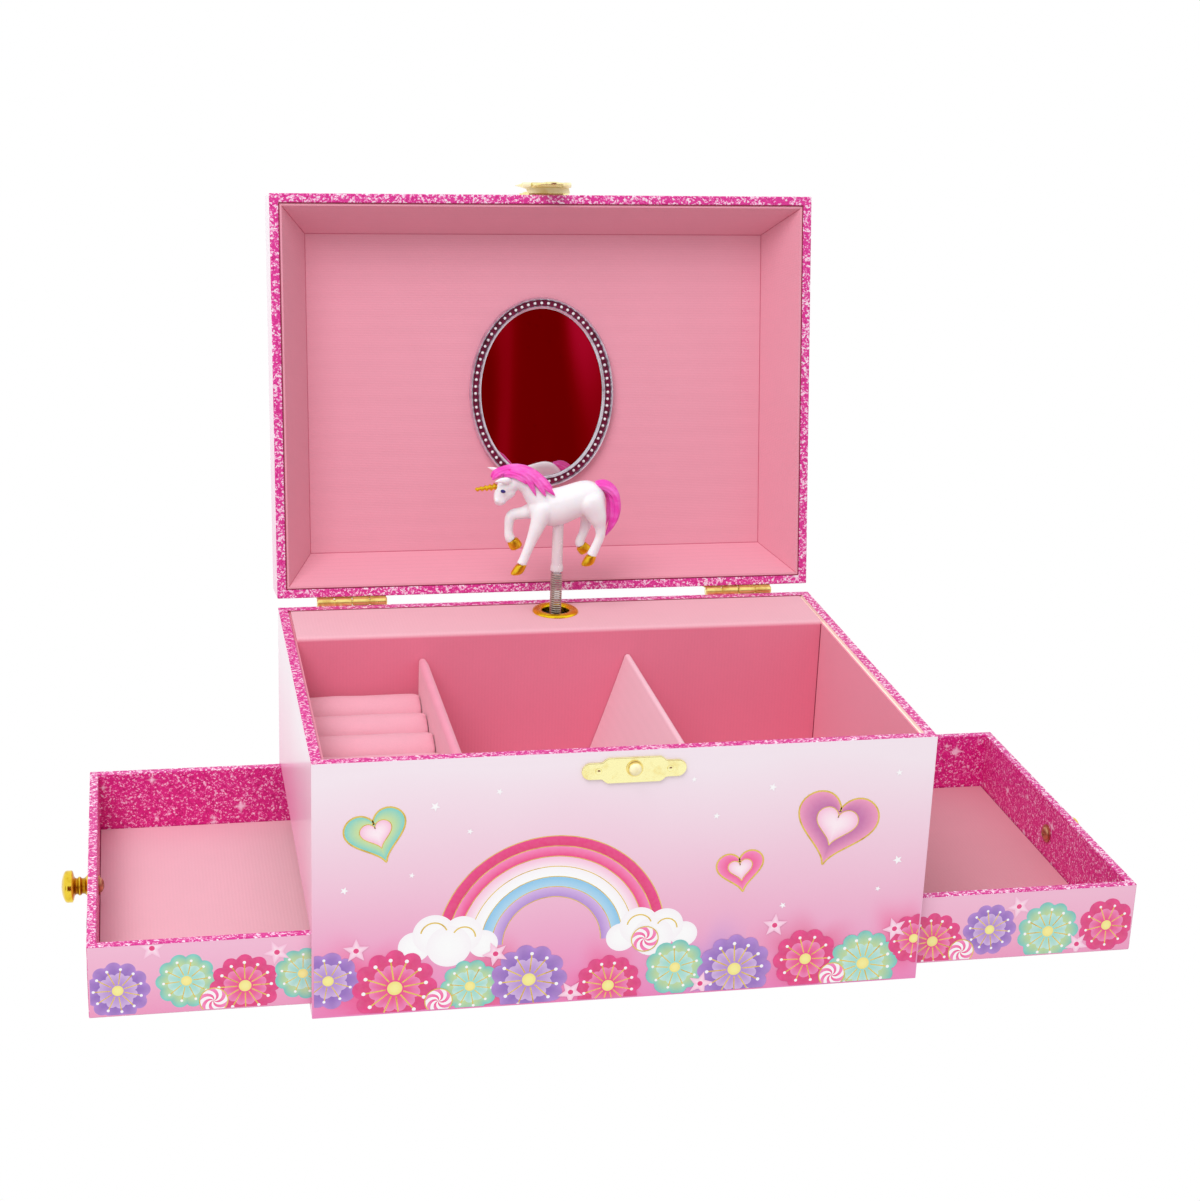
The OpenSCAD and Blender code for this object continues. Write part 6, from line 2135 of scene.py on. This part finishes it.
# ---------------------------------------------------------------- figure
@dataclass
class Figure:
    """The toy unicorn on its frosted tube and coil spring, drawn in millimetres about the post."""

    near: float = -3.1
    far: float = 3.1
    voxel: float = 0.34 * MM
    turns: int = 20
    wire: float = 0.3 * MM
    windings: float = 5.5

    def __post_init__(self) -> None:
        """Finds the post's axis and the deck."""
        low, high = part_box("deck_ring")
        self.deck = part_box("music_deck")[1].z
        self.place = Matrix.Translation(((low.x + high.x) / 2, (low.y + high.y) / 2, self.deck)) @ Matrix.Scale(MM, 4)

    def build(self) -> None:
        """Makes and dresses every piece of the figure."""
        self.spring()
        self.tube()
        self.body()
        self.mane()
        self.horn()
        self.hooves()
        self.eyes()

    def spring(self) -> None:
        """Closed-wound coil grown by a tree."""
        low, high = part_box("coil_spring")
        wire = self.wire
        radius = (high.x - low.x) / 2 - wire
        pattern = Pattern("coil", {"Turns": ("NodeSocketFloat", float(self.turns)),
                                   "Radius": ("NodeSocketFloat", radius), "Wire": ("NodeSocketFloat", wire),
                                   "Rise": ("NodeSocketFloat", high.z - low.z - 2 * wire)})
        coil = pattern.add("GeometryNodeCurveSpiral", None, {
            "Resolution": 26, "Rotations": pattern.given("Turns"), "Start Radius": pattern.given("Radius"),
            "End Radius": pattern.given("Radius"), "Height": pattern.given("Rise")})
        wire_ring = pattern.add("GeometryNodeCurvePrimitiveCircle", {"mode": "RADIUS"},
                                {"Resolution": 10, "Radius": pattern.given("Wire")})
        tube = pattern.add("GeometryNodeCurveToMesh", None, {"Curve": coil, "Profile Curve": wire_ring,
                                                             "Fill Caps": True})
        pattern.close(tube, Finish.SPRING)
        obj = pattern.grown("post_coil", Forge.box("seed", (0, 0, 0), (MM, MM, MM)))
        centre = self.place.to_translation()
        foot = Vector((centre.x, centre.y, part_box("spindle")[1].z))
        head = Vector((centre.x, centre.y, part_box("figure_tube")[0].z))
        Forge.settle(obj, "spring_post", (Finish.SPRING,), ("coil_spring",), smooth=True, bends=(foot, head),
                     place=Matrix.Translation((centre.x, centre.y, low.z + wire)))

    def tube(self) -> None:
        """Frosted tube with a small collar."""
        low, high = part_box("figure_tube")
        foot = (low.z - self.deck) / MM
        top = (high.z - self.deck) / MM
        peg = 1.4
        profile = [(0.0, foot), (peg, foot), (peg, foot + 3.0), (2.2, foot + 3.0), (2.36, foot + 3.15),
                   (2.34, foot + 4.6), (2.2, foot + 5.0), (2.05, foot + 5.8), (1.98, top), (0.0, top)]
        obj = Forge.show("frosted_tube", Forge.lathe("frosted_tube", profile, self.place, 40))
        Forge.settle(obj, "figure", (Finish.TUBE,), ("figure_tube",), edge=0)

    def limbs(self) -> list[Strand]:
        """Legs from shoulder or hip to pastern.

        Returns:
            The four legs.
        """
        n, f = self.near, self.far
        legs = (
            ((-4.6, n + 2.2, 43.6, 1.0), (-5.8, n + 1.0, 40.4, 3.8), (-8.3, n, 33.6, 2.8), (-10.2, n, 28.4, 2.05),
             (-12.3, n, 22.8, 1.75), (-13.6, n, 19.4, 1.9)),
            ((-4.0, f - 1.8, 40.6, 1.0), (-7.0, f - 0.9, 38.8, 3.6), (-12.2, f, 37.0, 2.4), (-16.8, f, 35.9, 2.05),
             (-17.6, f, 31.0, 1.65), (-17.2, f, 28.0, 1.85), (-16.3, f, 26.8, 1.8)),
            ((9.4, n + 2.4, 46.8, 1.2), (11.0, n + 1.2, 42.8, 4.9), (13.6, n + 0.2, 36.8, 3.6), (14.8, n, 33.0, 2.2),
             (15.0, n, 29.4, 1.8), (13.5, n, 25.4, 1.75), (12.0, n, 22.0, 1.95)),
            ((9.0, f - 2.2, 45.6, 1.2), (10.2, f - 1.1, 41.6, 4.4), (11.2, f, 35.2, 2.7), (10.2, f, 29.4, 1.8),
             (8.8, f, 25.8, 1.75), (9.2, f, 24.0, 1.8)))
        return [Strand(leg, 0.88) for leg in legs]

    def torso(self) -> bpy.types.Mesh:
        """Barrel, chest and rump as one loft along X.

        Returns:
            The mesh.
        """
        rows = [(-11.3, 42.2, 37.8, 1.8), (-10.3, 44.0, 36.0, 3.2), (-8.4, 45.4, 34.4, 4.1), (-5.6, 46.2, 33.2, 4.8),
                (-2.0, 46.7, 32.7, 5.2), (1.6, 47.6, 33.3, 5.2), (5.0, 48.6, 34.7, 5.0), (8.4, 49.4, 36.2, 4.9),
                (11.4, 49.3, 37.2, 5.0), (13.8, 48.2, 38.0, 4.6), (15.6, 46.4, 39.4, 3.5), (16.7, 44.4, 41.4, 1.8)]
        rings = []
        for x, top, low, half in curve_through(rows, 3):
            mid, tall = (top + low) / 2, (top - low) / 2
            rings.append([self.place @ Vector((x, half * math.sin(a), mid + tall * math.cos(a)))
                          for a in circle(28)])
        return Forge.loft("torso", rings)

    def body(self) -> None:
        """The moulded body, blended into one skin."""
        parts = [self.torso()]
        neck = Strand([(-4.8, 0, 41.0, 6.2), (-8.2, 0, 45.0, 5.0), (-11.2, 0, 48.4, 4.1), (-14.6, 0, 50.0, 3.5),
                       (-17.8, 0, 49.7, 3.1)], 0.76)
        head = Strand([(-16.4, 0, 49.4, 3.1), (-19.0, 0, 48.4, 3.5), (-20.7, 0, 46.5, 3.0), (-21.4, 0, 44.8, 2.5),
                       (-21.4, 0, 43.3, 2.5), (-21.0, 0, 42.1, 2.3), (-20.6, 0, 41.2, 1.1)], 0.84)
        cheek = Strand([(-17.2, 0, 47.8, 1.6), (-18.2, 0, 46.4, 2.6), (-19.2, 0, 44.8, 2.2),
                        (-20.0, 0, 43.6, 1.6)], 0.95)
        nostril = Strand([(-23.4, -1.2, 43.4, 0.55), (-22.9, -1.5, 43.0, 0.75), (-22.3, -1.3, 42.6, 0.5)], 1.0)
        near_ear = Strand([(-18.2, -2.4, 50.4, 0.9), (-20.0, -3.4, 51.0, 1.4), (-22.2, -3.7, 51.1, 1.0),
                           (-24.3, -3.4, 50.6, 0.25)], 0.6, sides=14, steps=5)
        far_ear = Strand([(-20.2, 1.6, 52.2, 0.8), (-22.0, 2.2, 53.2, 1.05), (-24.2, 2.4, 53.9, 0.75),
                          (-26.3, 2.4, 54.5, 0.2)], 0.6, sides=14, steps=5)
        parts += [s.mesh("part", self.place) for s in (neck, head, cheek, nostril, near_ear, far_ear, *self.limbs())]
        obj = Forge.show("moulded_body", Forge.joined("moulded_body", parts))
        mesher = obj.modifiers.new("skin", "REMESH")
        mesher.mode, mesher.voxel_size = "VOXEL", self.voxel
        relax = obj.modifiers.new("relax", "SMOOTH")
        relax.iterations, relax.factor = 11, 0.5
        Forge.applied(obj)
        Forge.settle(obj, "figure", (Finish.WHITE,), ("unicorn_body",), smooth=True)

    def mane(self) -> None:
        """Crest, forelock, side locks and tail, each lock with its own strands."""
        locks: list[tuple[list[Spot], int]] = [
            ([(-23.6, 0.0, 51.2, 0.9), (-22.4, 0, 52.8, 1.6), (-19.4, 0, 53.8, 2.1), (-15.4, 0, 53.9, 2.4),
              (-11.4, 0, 52.4, 2.7), (-8.0, 0, 50.0, 2.6), (-4.8, 0, 47.6, 1.9), (-2.4, 0, 45.9, 0.5)], 8),
            ([(-18.2, -1.4, 54.0, 1.4), (-14.6, -2.8, 53.3, 1.5), (-12.2, -3.4, 51.2, 1.3), (-10.6, -3.7, 48.4, 1.0),
              (-9.3, -3.9, 45.4, 0.2)], 6),
            ([(-15.6, -1.4, 54.5, 1.5), (-11.4, -2.9, 53.0, 1.6), (-8.8, -3.7, 50.2, 1.4), (-7.0, -4.2, 47.4, 1.0),
              (-5.8, -4.5, 45.2, 0.2)], 6),
            ([(-12.2, -1.2, 53.8, 1.5), (-8.4, -2.8, 51.4, 1.6), (-6.0, -3.7, 49.0, 1.3), (-4.0, -4.1, 47.0, 0.9),
              (-2.4, -4.1, 45.3, 0.2)], 6),
            ([(-20.4, -1.2, 52.9, 1.4), (-17.2, -2.4, 52.8, 1.3), (-14.4, -3.2, 51.4, 1.1),
              (-12.6, -3.5, 49.6, 0.3)], 5),
            ([(-18.8, -0.6, 53.8, 1.5), (-21.4, -1.2, 53.4, 1.5), (-23.6, -1.6, 52.2, 1.1),
              (-24.7, -1.8, 50.9, 0.3)], 6),
        ]
        locks += [([(x, -y, z, r) for x, y, z, r in path], n) for path, n in locks[1:6]]
        tail = [([(13.2, 0, 47.6, 1.7), (16.4, 0, 47.6, 2.2), (19.2, 0, 45.4, 2.3), (20.6, 0, 41.2, 2.2),
                  (20.6, 0, 36.6, 1.9), (19.6, 0, 32.6, 1.3), (17.6, 0, 28.6, 0.3)], 8),
                ([(14.0, -0.9, 48.0, 1.4), (17.6, -1.4, 47.0, 1.5), (20.4, -1.6, 43.8, 1.4), (21.4, -1.5, 39.4, 1.2),
                  (20.8, -1.2, 34.8, 0.9), (19.0, -0.8, 30.6, 0.2)], 6),
                ([(14.0, 0.9, 47.8, 1.4), (17.2, 1.4, 46.2, 1.4), (18.6, 1.6, 42.6, 1.2), (18.8, 1.4, 38.4, 1.0),
                  (18.2, 1.2, 34.4, 0.7), (17.0, 0.8, 30.4, 0.2)], 5)]
        parts = [Strand(path, 0.8, ridges, 0.2, 1.6, 36, 8).mesh("lock", self.place) for path, ridges in locks + tail]
        obj = Forge.show("mane_locks", Forge.joined("mane_locks", parts))
        Forge.settle(obj, "figure", (Finish.PINK,), ("mane_and_tail",), smooth=True)

    def horn(self) -> None:
        """Spiral horn with a winding groove."""
        line = [(-21.4 - 8.9 * k / 48, 0, 48.1 - 1.1 * k / 48,
                 (1.5 - 0.8 * k / 48) * (1 + 0.2 * math.sin(2 * math.pi * self.windings * k / 48))) for k in range(49)]
        line.append((-30.7, 0, 46.97, 0.2))
        horn = Strand(line, 1.0, 1, 0.26, 2 * math.pi * self.windings, 24, 3)
        obj = Forge.show("spiral_horn", horn.mesh("spiral_horn", self.place))
        Forge.settle(obj, "figure", (Finish.GILT,), ("horn",), smooth=True)

    def hooves(self) -> None:
        """Four hooves: flared from the pastern to a flat sole."""
        n, f = self.near, self.far
        parts = []
        for top, sole, toe in (((-13.6, n, 19.6), (-15.0, n, 15.7), (-1, 0, -0.1)),
                               ((-16.2, f, 27.0), (-14.8, f, 23.4), (0.9, 0, 0.42)),
                               ((12.0, n, 22.4), (11.0, n, 18.4), (-1, 0, -0.1)),
                               ((9.2, f, 24.2), (11.0, f, 21.4), (0.7, 0, 0.6))):
            a, b = Vector(top), Vector(sole)
            forward = Vector(toe).normalized()
            rings = []
            for t, r, push in ((0.0, 1.4, 0.0), (0.05, 1.85, 0.0), (0.16, 2.05, 0.05), (0.5, 2.25, 0.25),
                               (0.75, 2.3, 0.4), (0.9, 2.1, 0.45), (0.98, 1.7, 0.45), (1.02, 1.0, 0.45)):
                mid = a.lerp(b, t) + forward * push
                rings.append([self.place @ (mid + forward * (r * 1.05 * math.cos(k))
                                            + Vector((0, 1, 0)) * (r * 0.86 * math.sin(k))) for k in circle(28)])
            parts.append(Forge.loft("hoof", rings))
        obj = Forge.show("gold_hooves", Forge.joined("gold_hooves", parts))
        Forge.settle(obj, "figure", (Finish.GILT,), ("hooves",), edge=0)

    def eyes(self) -> None:
        """Painted dark almond eyes, one on each side."""
        parts = []
        x, z, rx, rz, y = -20.9, 46.8, 0.95, 0.68, 2.5
        for side in (-1, 1):
            rings = []
            for a in (math.pi * i / 8 for i in range(9)):
                rings.append([self.place @ Vector((x + rx * math.sin(a) * math.cos(b), side * (y + 0.3 * math.cos(a)),
                                                   z + rz * math.sin(a) * math.sin(b) - 0.12 * rx * math.cos(b)))
                              for b in circle(20)])
            parts.append(Forge.loft("eye", rings, False))
        obj = Forge.show("painted_eyes", Forge.joined("painted_eyes", parts))
        Forge.settle(obj, "figure", (Finish.EYE,), ("eyes",), smooth=True)


# ---------------------------------------------------------------- studio
@dataclass
class Studio:
    """Lights, the drape that the mirror sees, and the camera."""

    eye: Point = (-0.15074, -0.69881, 0.35516)
    yaw: float = -12.43
    pitch: float = 18.82
    roll: float = 2.31
    lens: float = 67.0
    ambient: float = 0.71
    target: Point = (0, 0, 0.1)
    sensor: float = 36.0
    lamps: tuple[tuple[str, Point, float, float], ...] = (
        ("key", (-0.62, -0.80, 1.48), 1.0, 19.0), ("side", (-1.4, 0.55, 0.12), 0.5, 1.4))

    def build(self) -> None:
        """Makes the studio."""
        self.drape()
        self.lights()
        self.camera()

    def drape(self) -> None:
        """A folded dark red cloth in front of the box and one at its side, seen only in reflections."""
        steps, heights = 60, (-0.15, 0.15, 0.45, 0.75)
        rows = []
        for i in range(steps + 1):
            x = -0.45 + 1.5 * i / steps
            depth = -1.42 + 0.03 * math.sin(x * 38) + 0.02 * math.sin(x * 71 + 1)
            rows.append([(x, depth, z) for z in heights])
        n = len(heights)
        faces = [(i * n + k, i * n + k + 1, (i + 1) * n + k + 1, (i + 1) * n + k)
                 for i in range(steps) for k in range(n - 1)]
        side = [(-1.1, -0.75, -0.1), (-1.1, -0.3, -0.1), (-1.1, -0.3, 0.3), (-1.1, -0.75, 0.3)]
        cloth = Drape().build()
        for name, verts, faces in (("velvet_drape", [p for row in rows for p in row], faces),
                                   ("side_drape", side, [(0, 1, 2, 3)])):
            obj = Forge.show(name, Forge.mesh(name, verts, faces))
            obj.data.shade_smooth()
            obj.data.materials.append(cloth)
            obj.visible_camera = obj.visible_diffuse = obj.visible_shadow = False
            obj.visible_transmission = obj.visible_volume_scatter = False
            obj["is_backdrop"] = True

    def lights(self) -> None:
        """Bright surroundings and large soft boxes."""
        world = bpy.data.worlds.new("studio light")
        bpy.context.scene.world = world
        world.use_nodes = True
        tree = world.node_tree
        sky = tree.nodes["Background"]
        sky.inputs[0].default_value = (1.0, 1.0, 1.0, 1.0)
        ray, level, seen = (tree.nodes.new(f"ShaderNode{kind}") for kind in ("LightPath", "MapRange", "Math"))
        level.inputs["To Min"].default_value = self.ambient
        level.inputs["To Max"].default_value = 1.0
        seen.operation = "MAXIMUM"
        for output, socket in ((ray.outputs["Is Camera Ray"], seen.inputs[0]),
                               (ray.outputs["Is Glossy Ray"], seen.inputs[1]),
                               (seen.outputs[0], level.inputs["Value"]), (level.outputs[0], sky.inputs[1])):
            tree.links.new(output, socket)
        for name, place, size, power in self.lamps:
            lamp = bpy.data.lights.new(name, "AREA")
            lamp.shape, lamp.size, lamp.energy = "SQUARE", size, power
            obj = bpy.data.objects.new(name, lamp)
            obj.location = place
            obj.rotation_euler = (Vector(self.target) - Vector(place)).to_track_quat("-Z", "Y").to_euler()
            obj.visible_glossy = False
            bpy.context.scene.collection.objects.link(obj)

    def camera(self) -> None:
        """The camera, from its measured angles."""
        yaw, pitch, roll = (math.radians(v) for v in (self.yaw, self.pitch, self.roll))
        ahead = Vector((-math.sin(yaw) * math.cos(pitch), math.cos(yaw) * math.cos(pitch), -math.sin(pitch)))
        level = Vector((math.cos(yaw), math.sin(yaw), 0))
        above = level.cross(ahead)
        right = level * math.cos(roll) + above * math.sin(roll)
        up = above * math.cos(roll) - level * math.sin(roll)
        turn = Matrix((right, up, -ahead)).transposed().to_4x4()
        data = bpy.data.cameras.new("camera")
        data.lens, data.sensor_width, data.clip_start = self.lens, self.sensor, 0.01
        obj = bpy.data.objects.new("camera", data)
        obj.matrix_world = Matrix.Translation(self.eye) @ turn
        bpy.context.scene.collection.objects.link(obj)
        bpy.context.scene.camera = obj
        bpy.context.scene.view_settings.view_transform = "Standard"


def corners(box: tuple[Vector, Vector]) -> list[list[float]]:
    """A box as plain lists."""
    return [list(p) for p in box]


def main() -> None:
    """Builds the box piece by piece."""
    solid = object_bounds()
    lid = Lid()
    for part in (Studio(), Case(), Padding(), lid, Drawer("left", -1), Drawer("right", 1), Hardware(lid), Figure()):
        LOG.info("building %s", type(part).__name__)
        part.build()
    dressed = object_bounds()
    {"cad": corners(solid), "visual": corners(dressed)}


if __name__ == "__main__":
    logging.basicConfig(level=logging.INFO, format="%(name)s: %(message)s")
    main()
